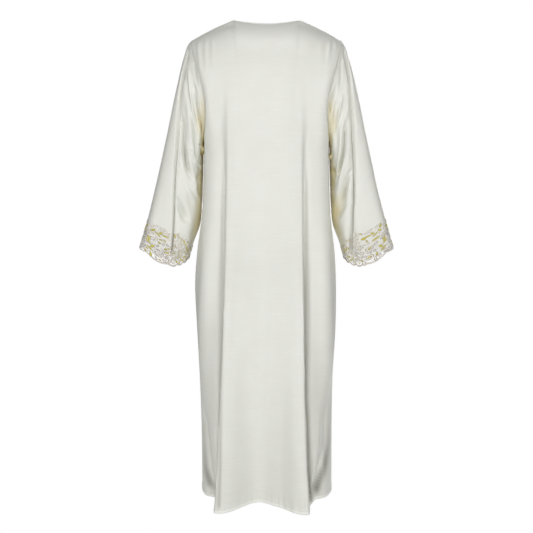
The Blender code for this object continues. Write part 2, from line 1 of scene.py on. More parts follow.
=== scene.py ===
"""Ivory satin abaya with embroidered lace cuffs: its cloth, lace, sewing and a plain studio.

The origin lies on the centre line, at the height where the shoulder seams meet the neck. +Z is up,
the back faces -Y and the wearer's left sleeve is on the -X side. Lengths are in metres unless a
comment says otherwise, and angles in degrees. Every sheet of cloth is a fine grid of points on the
form of its solid, with its folds.
"""

import math
import random
from collections import namedtuple

import bmesh
import bpy
import numpy as np
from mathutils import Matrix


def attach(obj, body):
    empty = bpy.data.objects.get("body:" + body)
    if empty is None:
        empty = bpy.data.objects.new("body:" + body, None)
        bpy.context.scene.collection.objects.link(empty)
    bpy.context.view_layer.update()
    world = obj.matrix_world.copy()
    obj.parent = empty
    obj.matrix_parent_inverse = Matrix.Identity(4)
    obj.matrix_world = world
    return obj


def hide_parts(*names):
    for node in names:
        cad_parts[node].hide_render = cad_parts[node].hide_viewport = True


bl_info = {
    "name": "Ivory satin abaya",
    "version": (1, 0, 0),
    "blender": (4, 5, 0),
    "location": "View3D > Sidebar > Abaya",
    "description": "Sews an ivory satin abaya with lace cuffs, piece by piece, and its studio",
    "category": "Add Mesh",
}

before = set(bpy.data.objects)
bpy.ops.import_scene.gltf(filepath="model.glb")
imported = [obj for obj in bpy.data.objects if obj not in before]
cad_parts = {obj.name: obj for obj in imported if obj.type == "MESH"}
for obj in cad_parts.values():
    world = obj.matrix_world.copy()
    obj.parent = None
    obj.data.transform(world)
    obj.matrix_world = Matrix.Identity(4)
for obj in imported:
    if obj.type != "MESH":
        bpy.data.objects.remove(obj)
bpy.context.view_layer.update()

# Cloth thickness, the gap between sewn pieces and the lace's distance from the satin
SATIN_SHELL = 0.0007
SATIN_WALL = 0.0012
SEAM_GAP = 0.0003
LACE_GAP = 0.0007

# Neck and shoulders
NECK_HALF_WIDTH = 0.100
NECK_ROUNDNESS = 0.6
SHOULDER_HALF_WIDTH = 0.2268
SHOULDER_DROP = 0.0625
SHOULDER_BULGE = 0.003

# Armholes
UNDERARM_Z = -0.365
ARMHOLE_WIDEST = 0.4545
ARMHOLE_BACK_DEPTH = 0.088
ARMHOLE_FRONT_DEPTH = 0.084
ARMHOLE_SHARE = 10
SEAM_SHARE = 25
WIDEST_Z = -0.200
UNDERARM_FADE = 0.070

# Body below the armholes
SECTION_POWER = 2.5
HEM_SIDE_Z = -1.389
HEM_TURN = 0.008

# Sleeves and lace cuffs, as fractions of the sleeve's length
ARMHOLE_REACH = 0.35
CREASE_COLUMN_ANGLE = 60.0
CUFF_BACK_DIP = 0.036
CUFF_FRONT_DIP = 0.022
CUFF_DIP_ANGLE = 12.0
SATIN_END = 0.945
SCALLOPS = 13
SCALLOP_DEPTH = 0.0055
SCALLOP_ROUNDNESS = 0.8

# How finely each piece is divided
CAP_ROWS = 56
SKIRT_ROWS = 125
HEM_ROWS = 5
NECK_COLUMNS = 90
SHOULDER_COLUMNS = 60
SLEEVE_COLUMNS = 240
SLEEVE_ROWS = 150
LACE_COLUMNS = 312
LACE_ROWS = 24
NECK_COLUMN_CROWDING = 0.3

# Where a sleeve's columns and rows lie closer together: middle, reach and extra share
SLEEVE_COLUMN_CROWDING = ((52.0, 20.0, 1.8), (148.0, 22.0, 0.9))
SLEEVE_ROW_CROWDING = ((0.12, 0.09, 1.8),)


def table(names, *rows):
    """Rows of values under named columns."""
    row = namedtuple("row", names)
    return tuple(row(*values) for values in rows)


# What differs between the back and the front: neck, upper body and hem
BACK_SIZES, FRONT_SIZES = table(
    "neck_drop neck_slope armhole_depth lower_chest hem_z",
    (0.024, 0.05, ARMHOLE_BACK_DEPTH, 0.0, -1.415),
    (0.130, 0.25, ARMHOLE_FRONT_DEPTH, 0.25, -1.407),
)

# The armhole's edge, from the shoulder point down to the underarm
ARMHOLE = table(
    "z half_width panel_width",
    (-0.0625, 0.2268, 0.2268),
    (-0.1200, 0.2130, 0.2140),
    (-0.1800, 0.1960, 0.2000),
    (-0.2500, 0.1795, 0.1895),
    (-0.3100, 0.1785, 0.1865),
    (-0.3650, 0.1865, 0.1865),
)

# Half widths and depths of the body's level sections; the first two lie beside the armholes
BODY = table(
    "z left right back front",
    (-0.166, 0.1865, 0.1865, 0.121, 0.134),
    (-0.270, 0.1865, 0.1865, 0.120, 0.135),
    (-0.365, 0.1865, 0.1865, 0.118, 0.130),
    (-0.450, 0.1875, 0.1865, 0.119, 0.122),
    (-0.585, 0.1935, 0.1915, 0.119, 0.112),
    (-0.690, 0.2070, 0.2035, 0.122, 0.115),
    (-0.790, 0.2130, 0.2075, 0.136, 0.122),
    (-0.924, 0.2065, 0.2055, 0.147, 0.132),
    (-1.050, 0.1995, 0.1975, 0.153, 0.142),
    (-1.194, 0.1940, 0.1945, 0.157, 0.152),
    (-1.389, 0.1910, 0.1935, 0.159, 0.162),
)

# Folds that run down the body: place across, height, reach to each side, and rise from the cloth
BODY_FOLD_FADE = 0.12
SIDE_SEAM_REACH = 0.06
FOLD_COLUMNS = "x_top x_end z_top z_end reach_left reach_right rise_top rise_end growth"
BACK_FOLDS = table(
    FOLD_COLUMNS,
    (-0.106, -0.120, -0.20, -1.42, 0.014, 0.042, 0.004, 0.054, 1.5),
    (0.096, 0.099, -0.20, -1.42, 0.048, 0.014, 0.004, 0.052, 1.5),
    (-0.010, -0.024, -0.62, -1.42, 0.046, 0.046, -0.004, -0.030, 1.4),
    (-0.184, -0.160, -1.12, -1.42, 0.012, 0.012, -0.002, -0.014, 1.0),
    (0.190, 0.146, -1.04, -1.42, 0.014, 0.014, -0.002, -0.014, 1.0),
    (0.050, 0.046, -0.98, -1.42, 0.022, 0.022, -0.001, -0.006, 1.0),
)
FRONT_FOLDS = table(
    FOLD_COLUMNS,
    (-0.092, -0.118, -0.30, -1.42, 0.038, 0.030, 0.003, 0.044, 1.6),
    (0.088, 0.122, -0.28, -1.42, 0.030, 0.036, 0.003, 0.040, 1.6),
    (-0.008, 0.006, -0.72, -1.42, 0.030, 0.034, 0.002, 0.022, 1.4),
    (-0.058, -0.060, -0.66, -1.42, 0.026, 0.024, -0.002, -0.022, 1.3),
    (0.052, 0.066, -0.70, -1.42, 0.024, 0.026, -0.002, -0.024, 1.3),
)

# The sleeve's outer line from the shoulder point and its inner line from the underarm point
SLEEVE = table(
    "along outer_x outer_z inner_x inner_z half_depth crease_angle",
    (0.00, 0.2268, -0.0625, 0.1865, -0.365, 0.088, 60.0),
    (0.03, 0.2365, -0.0780, 0.1886, -0.374, 0.086, 55.0),
    (0.09, 0.2460, -0.1140, 0.1890, -0.392, 0.083, 52.0),
    (0.20, 0.2615, -0.1860, 0.1893, -0.425, 0.078, 53.0),
    (0.38, 0.2840, -0.2940, 0.1910, -0.485, 0.071, 58.0),
    (0.56, 0.3090, -0.4000, 0.1935, -0.545, 0.065, 72.0),
    (0.74, 0.3350, -0.5100, 0.1995, -0.606, 0.059, 88.0),
    (0.90, 0.3605, -0.6120, 0.2195, -0.662, 0.052, 102.0),
    (1.00, 0.3785, -0.6720, 0.2325, -0.705, 0.047, 108.0),
)

# Folds of a sleeve: angle round it from its outer line over the back, and place along it
SLEEVE_FOLD_COLUMNS = "angle_start angle_end start end reach rise"
LEFT_SLEEVE_FOLDS = table(
    SLEEVE_FOLD_COLUMNS,
    (62.0, 150.0, 0.12, 0.42, 16.0, 0.006),
    (76.0, 168.0, 0.30, 0.60, 16.0, 0.005),
    (96.0, 150.0, 0.06, 0.46, 14.0, -0.007),
    (112.0, 146.0, 0.52, 0.80, 16.0, -0.005),
    (132.0, 138.0, 0.62, 1.00, 18.0, 0.004),
    (296.0, 210.0, 0.10, 0.50, 18.0, 0.006),
    (270.0, 230.0, 0.35, 0.85, 18.0, -0.005),
    (300.0, 292.0, 0.45, 1.00, 18.0, 0.004),
)
RIGHT_SLEEVE_FOLDS = table(
    SLEEVE_FOLD_COLUMNS,
    (64.0, 156.0, 0.16, 0.46, 16.0, 0.006),
    (82.0, 164.0, 0.36, 0.66, 16.0, 0.005),
    (98.0, 152.0, 0.04, 0.42, 14.0, -0.007),
    (116.0, 148.0, 0.56, 0.84, 16.0, -0.005),
    (134.0, 140.0, 0.66, 1.00, 18.0, 0.004),
    (290.0, 214.0, 0.14, 0.54, 18.0, 0.006),
    (266.0, 232.0, 0.40, 0.88, 18.0, -0.005),
    (304.0, 294.0, 0.50, 1.00, 18.0, 0.004),
)
CREASE_RISE = 0.007
CREASE_REACH_OUTER = 40.0
CREASE_REACH_INNER = 13.0
CREASE_START = 0.15
LIE_FLAT_REACH = 24.0
SLEEVE_TUCK = 0.014
TUCK_START = 0.12
SLEEVE_FOLD_FADE = 0.10

# Height of the lace above its scalloped edge, by the angle round the cuff
LACE_TOP = table(
    "angle height",
    (0, 0.078), (35, 0.092), (70, 0.098), (92, 0.084), (112, 0.068), (135, 0.048), (160, 0.036),
    (195, 0.038), (225, 0.056), (260, 0.08), (295, 0.096), (330, 0.086), (360, 0.078),
)
LACE_TOP_WAVES = 11
LACE_TOP_WAVE = 0.003

# Flower heads and leaves of the embroidery: place round the cuff, height over its edge and size
SPRAYS = table(
    "angle height length width lean",
    (12.0, 0.060, 0.018, 0.009, 60.0),
    (30.0, 0.030, 0.022, 0.009, 110.0),
    (40.0, 0.074, 0.020, 0.010, 20.0),
    (62.0, 0.050, 0.014, 0.014, 0.0),
    (70.0, 0.020, 0.014, 0.014, 0.0),
    (92.0, 0.038, 0.016, 0.016, 0.0),
    (104.0, 0.014, 0.022, 0.009, 15.0),
    (122.0, 0.034, 0.020, 0.009, 140.0),
    (150.0, 0.020, 0.014, 0.012, 0.0),
    (205.0, 0.018, 0.014, 0.012, 0.0),
    (232.0, 0.032, 0.020, 0.009, 40.0),
    (254.0, 0.016, 0.022, 0.009, 165.0),
    (268.0, 0.044, 0.016, 0.016, 0.0),
    (288.0, 0.072, 0.020, 0.010, 160.0),
    (298.0, 0.026, 0.014, 0.014, 0.0),
    (322.0, 0.034, 0.022, 0.009, 70.0),
    (340.0, 0.062, 0.018, 0.009, 120.0),
)


def read_off(rows, key, column, at):
    """Values of a table's column at places between its rows, along a smooth curve."""
    places = np.array([getattr(row, key) for row in rows])
    values = np.array([getattr(row, column) for row in rows])
    at = np.asarray(at, dtype=float)
    if places[0] > places[-1]:
        places = -places
        at = -at
    at = np.clip(at, places[0], places[-1])
    last = len(places) - 1
    index = np.clip(np.searchsorted(places, at, side="right") - 1, 0, last - 1)
    order = np.arange(len(places))
    before = np.maximum(order - 1, 0)
    after = np.minimum(order + 1, last)
    slopes = (values[after] - values[before]) / (places[after] - places[before])
    span = places[index + 1] - places[index]
    part = (at - places[index]) / span
    bend = (part**3 - 2 * part**2 + part) * slopes[index] + (part**3 - part**2) * slopes[index + 1]
    return between(values[index], values[index + 1], ease(part)) + span * bend


def ease(part):
    """0 up to 0, 1 from 1 on, and a smooth rise between."""
    part = np.clip(part, 0.0, 1.0)
    return part * part * (3 - 2 * part)


def ramp(value, start, end):
    """0 before the start, 1 past the end, and a smooth rise between."""
    return ease((value - start) / (end - start))


def between(first, last, part):
    """The value that lies a part of the way from the first to the last."""
    return first + (last - first) * part


def wave(place, length, shift=0.0):
    """A sine wave of that length, shifted by an angle in radians."""
    return np.sin(place * 2 * np.pi / length + shift)


def unit(vectors):
    """The vectors at length 1."""
    return vectors / np.maximum(np.linalg.norm(vectors, axis=-1, keepdims=True), 1e-12)


def hump(distance, reach):
    """A soft rise that is 1 at its middle and fades out at about twice its reach."""
    return np.exp(-((distance / reach) ** 2))


def body_fold_rise(folds, x, z):
    """How far the folds lift the cloth of a body panel at a place across it and a height."""
    total = np.zeros_like(x)
    for fold in folds:
        part = np.clip((z - fold.z_top) / (fold.z_end - fold.z_top), 0.0, 1.0)
        distance = x - between(fold.x_top, fold.x_end, part)
        reach = np.where(distance < 0, fold.reach_left, fold.reach_right)
        rise = between(fold.rise_top, fold.rise_end, part**fold.growth)
        total += rise * hump(distance, reach) * ease((fold.z_top - z) / BODY_FOLD_FADE + 0.5)
    return total


def sleeve_fold_rise(folds, angle, along):
    """How far the folds and the long crease lift a sleeve's cloth."""
    total = np.zeros_like(angle)
    for fold in folds:
        part = np.clip((along - fold.start) / (fold.end - fold.start), 0.0, 1.0)
        middle = between(fold.angle_start, fold.angle_end, part)
        fade = ease((along - fold.start) / SLEEVE_FOLD_FADE)
        if fold.end < 1.0:
            fade = fade * ease((fold.end - along) / SLEEVE_FOLD_FADE + 1)
        total += fold.rise * hump(angle - middle, fold.reach) * fade
    distance = angle - read_off(SLEEVE, "along", "crease_angle", along)
    reach = np.where(distance < 0, CREASE_REACH_OUTER, CREASE_REACH_INNER)
    return total + CREASE_RISE * hump(distance, reach) * ease(along / CREASE_START)


def beside_body(angle):
    """0 where a sleeve's cloth lies flat beside the body, and 1 away from it."""
    return 1 - hump(angle - 180.0, LIE_FLAT_REACH)


def cap_fall(angle):
    """How far down from its top edge to the underarm a row lies, from 0 to 1."""
    turn = np.cos(np.radians(angle))
    upper = ARMHOLE_WIDEST * (1 - turn)
    lower = ARMHOLE_WIDEST - (1 - ARMHOLE_WIDEST) * turn
    return np.where(angle <= 90.0, upper, lower)


def armhole_point(angle, depth):
    """Points of the right armhole's edge; depth is its reach towards the back (-) or front (+)."""
    z = between(-SHOULDER_DROP, UNDERARM_Z, cap_fall(angle))
    half_width = read_off(ARMHOLE, "z", "half_width", z)
    return np.stack([half_width, depth * np.sin(np.radians(angle)), z], axis=-1)


def crowded_places(count, low, high, spots):
    """Places from low to high, closer together round each spot: its middle, reach and extra."""
    fine = np.linspace(low, high, 2000)
    density = np.ones_like(fine)
    for middle, reach, extra in spots:
        density += extra * hump(fine - middle, reach)
    run = np.concatenate([[0.0], np.cumsum((density[1:] + density[:-1]) / 2)])
    return np.interp(np.linspace(0.0, run[-1], count), run, fine)


def column_places():
    """Places across a panel from -1 to 1, with one on each end of the neck."""
    neck_end = NECK_HALF_WIDTH / SHOULDER_HALF_WIDTH
    start_angle = math.degrees(math.asin(neck_end ** (SECTION_POWER / 2)))
    angle = between(start_angle, 90.0, np.arange(1, SHOULDER_COLUMNS + 1) / SHOULDER_COLUMNS)
    outer = np.sin(np.radians(angle)) ** (2 / SECTION_POWER)
    part = 2 * np.arange(NECK_COLUMNS + 1) / NECK_COLUMNS - 1
    inner = neck_end * between(part, np.sin(np.radians(90 * part)), NECK_COLUMN_CROWDING)
    return np.concatenate([-outer[::-1], inner, outer])


def shoulder_height(place):
    """Height of the shoulder seam's line, which runs on level over the neck's opening."""
    x = np.abs(place) * SHOULDER_HALF_WIDTH
    part = np.maximum((x - NECK_HALF_WIDTH) / (SHOULDER_HALF_WIDTH - NECK_HALF_WIDTH), 0.0)
    return SHOULDER_BULGE * np.sin(np.pi * part) - SHOULDER_DROP * part


def inside_neck(place):
    """0 at the neck's ends and beyond them, and 1 on the centre line."""
    return np.maximum(1 - (place * SHOULDER_HALF_WIDTH / NECK_HALF_WIDTH) ** 2, 0.0)


def section_share(place):
    """The share of its middle's depth that a level section has at a place across it."""
    return (1 - np.minimum(np.abs(place), 1.0) ** SECTION_POWER) ** (1 / SECTION_POWER)


def side_depth(depth, z):
    """Depth of the cloth beside the armhole, which fades out softly below the underarm."""
    part = np.clip((WIDEST_Z - z) / (WIDEST_Z - UNDERARM_Z + UNDERARM_FADE), 0.0, 1.0)
    return depth * np.cos(np.pi / 2 * part) ** 2


def panel_cap(place, depth_column, sizes, side):
    """Points of a body panel above the underarm, before its folds."""
    angle = (180.0 * np.arange(CAP_ROWS + 1) / CAP_ROWS)[:, None]
    depth = sizes.armhole_depth
    fall = cap_fall(angle)
    edge_x, edge_y, edge_z = np.moveaxis(armhole_point(angle, depth), -1, 0)
    below = ramp(fall, ARMHOLE_WIDEST, 1.0)
    middle_depth = read_off(BODY, "z", depth_column, UNDERARM_Z * fall)
    seam_depth = np.where(angle <= 90.0, depth, edge_y)
    seam_z = shoulder_height(place)
    inside = inside_neck(place)
    z = between(seam_z - sizes.neck_drop * inside**NECK_ROUNDNESS, UNDERARM_Z, fall)
    edge_share = np.abs(place) ** ARMHOLE_SHARE
    seam_share = np.abs(place) ** SEAM_SHARE
    edge_depth = depth * (1 - below) * (1 - edge_share) + seam_depth * seam_share
    edge_depth = edge_depth + side_depth(depth, edge_z) * (edge_share - seam_share)
    full = between(edge_depth, middle_depth, section_share(place))
    reach = (seam_z - UNDERARM_Z) * (ARMHOLE_WIDEST + sizes.lower_chest * (1 - place**2))
    lean = np.minimum((seam_z - z) / reach, 1.0)
    rise = (1 - (1 - lean) ** 2) ** (0.5 + sizes.neck_slope * inside**2)
    half_width = between(read_off(ARMHOLE, "z", "panel_width", edge_z), edge_x, edge_share)
    return np.stack([half_width * place, side * full * rise, z], axis=-1)


def panel_skirt(place, depth_column, sizes, side):
    """Points of a body panel from the underarm to the hem, before its folds."""
    above_turn = 1 - HEM_TURN / (UNDERARM_Z - HEM_SIDE_Z)
    down = np.arange(1, SKIRT_ROWS + 1) / SKIRT_ROWS * above_turn
    turned = between(above_turn, 1.0, np.arange(1, HEM_ROWS + 1) / HEM_ROWS)
    step = np.concatenate([down, turned])[:, None]
    side_z = between(UNDERARM_Z, HEM_SIDE_Z, step)
    left, right, middle_depth = (
        read_off(BODY, "z", column, side_z) for column in ("left", "right", depth_column)
    )
    section = section_share(place)
    z = between(UNDERARM_Z, between(HEM_SIDE_Z, sizes.hem_z, section), step)
    x = np.where(place < 0, left, right) * place
    beside = np.abs(place) ** ARMHOLE_SHARE - np.abs(place) ** SEAM_SHARE
    soft = side_depth(sizes.armhole_depth, z) * beside
    return np.stack([x, side * (middle_depth * section + soft * (1 - section)), z], axis=-1)


# The upper body is evened out across: how finely, how often, and where that fades out
EVEN_LEVELS = 160
EVEN_ROUNDS = 240
EVEN_SEAM_FADE = 0.025
EVEN_UNDERARM_FADE = 0.10
EVEN_SIDE_PLACE = 0.85
EVEN_SIDE_FADE = 0.15


def smooth_shoulders(points, place):
    """Evens out a body panel's depth across it, level by level, below the shoulder seams."""
    depth, height = np.moveaxis(points[..., 1:], -1, 0)
    levels = np.linspace(height.max(), height.min(), EVEN_LEVELS)
    even = np.stack([np.interp(-levels, -z, y) for z, y in zip(height.T, depth.T)], axis=1)
    for _ in range(EVEN_ROUNDS):
        even[:, 1:-1] = (even[:, :-2] + 2 * even[:, 1:-1] + even[:, 2:]) / 4
    level = np.stack([np.interp(-z, -levels, y) for z, y in zip(height.T, even.T)], axis=1)
    share = ease((height[:1] - height) / EVEN_SEAM_FADE)
    share = share * ease((height - UNDERARM_Z) / EVEN_UNDERARM_FADE)
    share = share * ease((EVEN_SIDE_PLACE - np.abs(place)) / EVEN_SIDE_FADE)
    points[..., 1] = between(depth, level, share)
    return points


def grid_normals(points, outward):
    """Unit vectors square to a grid's surface. outward is 1 or -1, by the grid's own direction."""
    return outward * unit(np.cross(np.gradient(points, axis=0), np.gradient(points, axis=1)))


def arc_from_start(points, axis=0):
    """Length along a line, or along a grid's rows or columns, measured from its first point."""
    steps = np.linalg.norm(np.diff(points, axis=axis), axis=-1)
    return np.insert(np.cumsum(steps, axis=axis), 0, 0.0, axis=axis)


# Soft lines drawn on the cloth: path, reach to each side, rise at both ends and fades
SoftLine = namedtuple("SoftLine", "path left right rise_start rise_end fade_start fade_end")


def soft_lines(*rows):
    """Soft lines on a panel, whose rows are in millimetres."""
    made = []
    for spots, *sizes in rows:
        path = [(across / 1000, down / 1000) for across, down in spots]
        made.append(SoftLine(path, *(size / 1000 for size in sizes)))
    return made


def sleeve_lines(*rows):
    """Soft lines on a sleeve: angles round it, shares of its length, and sizes in millimetres."""
    made = []
    for spots, *sizes in rows:
        path = [(angle * AROUND, along * DOWN) for angle, along in spots]
        made.append(SoftLine(path, *(size / 1000 for size in sizes)))
    return made


def soft_line_rise(lines, across, down):
    """How far the drawn folds lift the cloth, at places across and down it in metres."""
    total = np.zeros_like(across)
    for line in lines:
        path = np.array(line.path)
        run = arc_from_start(path)
        best = np.full_like(across, np.inf)
        side = np.zeros_like(across)
        place = np.zeros_like(across)
        for start, end, run_start, run_end in zip(path, path[1:], run, run[1:]):
            length = run_end - run_start
            run_x, run_z = (end - start) / length
            dx = across - start[0]
            dz = down - start[1]
            reached = np.clip(dx * run_x + dz * run_z, 0.0, length)
            distance = np.hypot(dx - reached * run_x, dz - reached * run_z)
            nearer = distance < best
            best = np.where(nearer, distance, best)
            side = np.where(nearer, dx * run_z - dz * run_x, side)
            place = np.where(nearer, run_start + reached, place)
        reach = np.where(side > 0, line.left, line.right)
        rise = between(line.rise_start, line.rise_end, place / run[-1])
        fade = ease(place / line.fade_start) * ease((run[-1] - place) / line.fade_end)
        total += rise * fade * hump(best, reach)
    return total


# The two long folds of the back and the folds at its bottom corners
LEFT_FOLD = ((-119, -330), (-121, -540), (-124, -830), (-128, -1110), (-129, -1300), (-133, -1420))
RIGHT_FOLD = ((110, -330), (110, -540), (110, -830), (109, -1110), (115, -1300), (128, -1420))
LEFT_CORNER = ((-190, -1150), (-187, -1236), (-179, -1323), (-165, -1362), (-150, -1388))
RIGHT_CORNER = ((190, -1090), (187, -1187), (183, -1256), (169, -1314), (149, -1361), (135, -1402))
BACK_LINES = soft_lines(
    (((-199, -72), (-198, -104), (-190, -186)), 5, 6, 3.4, 2, 20, 50),
    (((-178, -66), (-177, -105), (-174, -200)), 5, 6, 2.6, 1, 20, 70),
    (((-158, -60), (-156, -110), (-155, -190)), 5, 7, 2, 1, 20, 60),
    (((-127, -32), (-104, -56), (-75, -84)), 4, 5, 3, 1.6, 20, 30),
    (((186, -70), (181, -110), (176, -170)), 6, 5, 4, 1, 20, 50),
    (((198, -72), (203, -90), (196, -104)), 4, 4, 4, 3, 20, 20),
    (((160, -66), (156, -110), (154, -160)), 9, 9, 1.6, 1, 20, 50),
    (((-30, -650), (-4, -680), (10, -740)), 26, 24, -3, -2, 60, 60),
    (((30, -640), (22, -700), (30, -790)), 20, 20, 1.2, 1, 50, 70),
    (((-50, -670), (-40, -760), (-52, -900)), 22, 22, 1.5, 1, 50, 100),
    (((-168, -190), (-168, -500), (-186, -900), (-178, -1150)), 14, 26, 9, 10, 120, 150),
    (((166, -220), (168, -500), (180, -900), (178, -1150)), 26, 14, 9, 10, 120, 150),
    (LEFT_FOLD, 10, 5, -6, -38, 180, 30),
    (RIGHT_FOLD, 5.5, 10, -8, -48, 160, 50),
    (LEFT_CORNER, 12, 9, -14, -24, 50, 30),
    (((-192, -1270), (-186, -1340), (-176, -1390)), 6, 6, 3, 5, 30, 10),
    (RIGHT_CORNER, 10, 13, -12, -24, 80, 30),
    (((190, -1200), (178, -1290), (160, -1390)), 7, 8, 4, 8, 60, 10),
    (((150, -1120), (146, -1240), (138, -1330)), 8, 8, 3, 4, 60, 50),
)
FRONT_LINES = soft_lines(
    (((-190, -90), (-182, -140), (-176, -200)), 8, 7, 3, 1, 20, 50),
    (((188, -88), (182, -130), (178, -180)), 7, 8, 3, 1, 20, 50),
    (((170, -84), (163, -140), (158, -220)), 8, 10, 2, 1, 20, 60),
    (((-165, -180), (-135, -300), (-120, -480)), 18, 14, 3, 2, 60, 100),
    (((168, -200), (140, -330), (118, -520)), 14, 18, 3, 2, 60, 100),
    (((-60, -200), (-50, -330), (-52, -520)), 20, 20, 2, 2, 80, 120),
    (((50, -210), (44, -380), (50, -600)), 20, 18, 2, 2, 80, 120),
)

# Painted shade deep in narrow folds, where the satin sees only itself: the rises are
# thousandths of full shade
BACK_SHADES = soft_lines(
    (LEFT_FOLD, 6, 4, 100, 450, 400, 20),
    (RIGHT_FOLD, 4, 6, 50, 750, 600, 20),
    (LEFT_CORNER, 10, 9, 350, 800, 80, 30),
    (RIGHT_CORNER, 9, 11, 300, 800, 80, 30),
)

# The painted shade starts at a depth behind the shoulder seams and is full a little deeper
SHADE_START = 0.025
SHADE_FADE = 0.045

# A sleeve hangs nearly flat, so it is fuller beside its outer line than a plain oval
FLAT_CORNER = 40.0
FLAT_REACH = 18.0
FLAT_RISE = 0.007

# Metres round a sleeve for one degree, and metres down it for its whole length
AROUND = 0.00125
DOWN = 0.62

# The sleeve's slight waves: half its width, and where they start along it
WAVE_RING = 0.07
WAVE_START = 0.08

# The step by which the sleeve's end is carried on, as a share of its length, and the steps in
# degrees and in shares for the vectors off the plain sleeve
END_STEP = 0.004
BASE_STEPS = (0.5, 0.002)

# Painted gold shade on a sleeve's satin, where it lies in shade and mirrors itself: how deep
# a hollow and how high a pouch is at its full gold, then angles from the body's side, angles
# round the sleeve and places along it, from none to full
HOLLOW_DEPTH = 0.012
KINK_HEIGHT = 0.006
GOLD_BESIDE_BODY = (47.0, 17.0)
GOLD_WIDENING = 6.0
GOLD_ABOVE_CUFF = (0.98, 0.73)
GOLD_IN_HOLLOWS = (85.0, 40.0)
GOLD_BY_ARMHOLE = (0.20, 0.08)
GOLD_BEHIND_ARM = (90.0, 120.0)
GOLD_BEFORE_SEAM = (190.0, 178.0)

# The long crease of each sleeve
LEFT_CREASE = (
    (28, 0.02), (42, 0.12), (48, 0.19), (57, 0.295), (66, 0.425), (74, 0.56), (83, 0.7), (98, 0.87),
    (104, 0.945),
)
RIGHT_CREASE = (
    (28, 0.015), (41, 0.095), (53, 0.195), (65, 0.325), (74, 0.435), (84, 0.56), (94, 0.68),
    (108, 0.8), (120, 0.88), (127, 0.945),
)
LEFT_SLEEVE_LINES = sleeve_lines(
    (LEFT_CREASE, 12, 2.2, -8, -12, 20, 10),
    (LEFT_CREASE, 2, 2, -4, -6, 20, 10),
    (((60, 0.012), (74, 0.018), (88, 0.03)), 6, 5, -6, -7, 10, 10),
    (((56, 0.05), (76, 0.12), (93, 0.15), (126, 0.155)), 8, 8, 6, 6, 30, 30),
    (((82, 0.05), (92, 0.085), (108, 0.095), (140, 0.05)), 8, 9, -9, -12, 20, 20),
    (((66, 0.25), (72, 0.32), (81, 0.37), (91, 0.415), (102, 0.46), (113, 0.51)), 15, 11, -18, -24,
     60, 50),
    (((92, 0.37), (110, 0.335), (130, 0.315), (160, 0.275)), 8, 8, 5, 7, 30, 20),
    (((86, 0.655), (94, 0.69), (104, 0.72), (124, 0.77)), 13, 10, -22, -17, 40, 40),
    (((98, 0.56), (118, 0.575), (142, 0.59)), 10, 9, 6, 7, 30, 30),
    (((166, 0.135), (152, 0.165), (140, 0.205)), 6, 6, -9, -5, 10, 20),
    (((152, 0.33), (140, 0.42), (146, 0.54)), 7, 6, -6, -5, 30, 30),
    (((282, 0.03), (270, 0.1), (252, 0.16), (226, 0.17)), 9, 9, -9, -9, 20, 30),
    (((292, 0.1), (276, 0.2), (250, 0.27), (220, 0.28)), 9, 9, 6, 7, 30, 30),
    (((286, 0.3), (268, 0.38), (246, 0.44), (222, 0.45)), 9, 9, -9, -7, 30, 30),
    (((278, 0.55), (262, 0.63), (240, 0.7)), 11, 9, -7, -6, 30, 40),
)
RIGHT_SLEEVE_LINES = sleeve_lines(
    (RIGHT_CREASE, 12, 2.2, -9, -14, 20, 10),
    (RIGHT_CREASE, 2, 2, -5, -7, 20, 10),
    (((54, 0.015), (66, 0.05), (78, 0.09)), 6, 4, -8, -6, 10, 20),
    (((84, 0.055), (96, 0.045), (118, 0.02)), 8, 8, -9, -11, 20, 10),
    (((74, 0.12), (98, 0.15), (125, 0.17)), 9, 9, 6, 7, 30, 30),
    (((84, 0.21), (91, 0.27), (102, 0.32), (114, 0.365), (134, 0.44)), 16, 12, -20, -26, 50, 40),
    (((90, 0.365), (105, 0.41), (128, 0.515)), 9, 9, 6, 7, 30, 30),
    (((88, 0.49), (106, 0.54), (136, 0.62)), 13, 11, -14, -13, 30, 30),
    (((108, 0.52), (132, 0.62), (150, 0.74)), 28, 20, -16, -10, 50, 60),
    (((104, 0.66), (122, 0.7), (140, 0.73)), 11, 10, 4, 4, 30, 30),
    (((160, 0.26), (144, 0.36), (146, 0.48)), 6, 6, -7, -6, 20, 30),
    (((284, 0.04), (268, 0.12), (248, 0.17), (224, 0.18)), 9, 10, -9, -9, 20, 30),
    (((290, 0.13), (274, 0.23), (248, 0.29), (222, 0.31)), 9, 9, 6, 7, 30, 30),
    (((284, 0.34), (266, 0.42), (244, 0.49), (220, 0.5)), 10, 9, -9, -7, 30, 30),
    (((280, 0.6), (260, 0.68), (242, 0.76)), 10, 11, -7, -6, 30, 40),
)

# The cloth caught at the underarm: a small pouch that stands out towards the body
LEFT_KINKS = sleeve_lines(
    (((146, 0.152), (168, 0.086)), 10.5, 9.5, 8, 11, 1, 1),
    (((156, 0.098), (142, 0.138), (135, 0.16), (134, 0.176), (139, 0.184), (150, 0.166),
     (160, 0.138)), 2.6, 2.6, -4, -4, 2, 2),
)
RIGHT_KINKS = sleeve_lines(
    (((149, 0.203), (168, 0.148)), 7.5, 6, 7, 9, 1, 1),
    (((158, 0.16), (146, 0.196), (141, 0.214), (144, 0.226), (152, 0.216)), 2.6, 2.6, -4, -3, 2, 2),
)
KINK_SEAM_ANGLE = 182.0
KINK_SEAM_REACH = 8.0

# A seam: how deep its ditch is, the soft roll beside it and the puckers that run out of it
SEAM_DITCH = 0.0008
SEAM_DITCH_REACH = 0.0022
SEAM_ROLL = 0.0005
SEAM_ROLL_PLACE = 0.006
SEAM_PUCKER = 0.0005
SEAM_PUCKER_REACH = 0.014
SEAM_PUCKER_LENGTH = 0.021
SEAM_SECOND_LENGTH = 0.034
SEAM_STRENGTH_LENGTH = 0.19

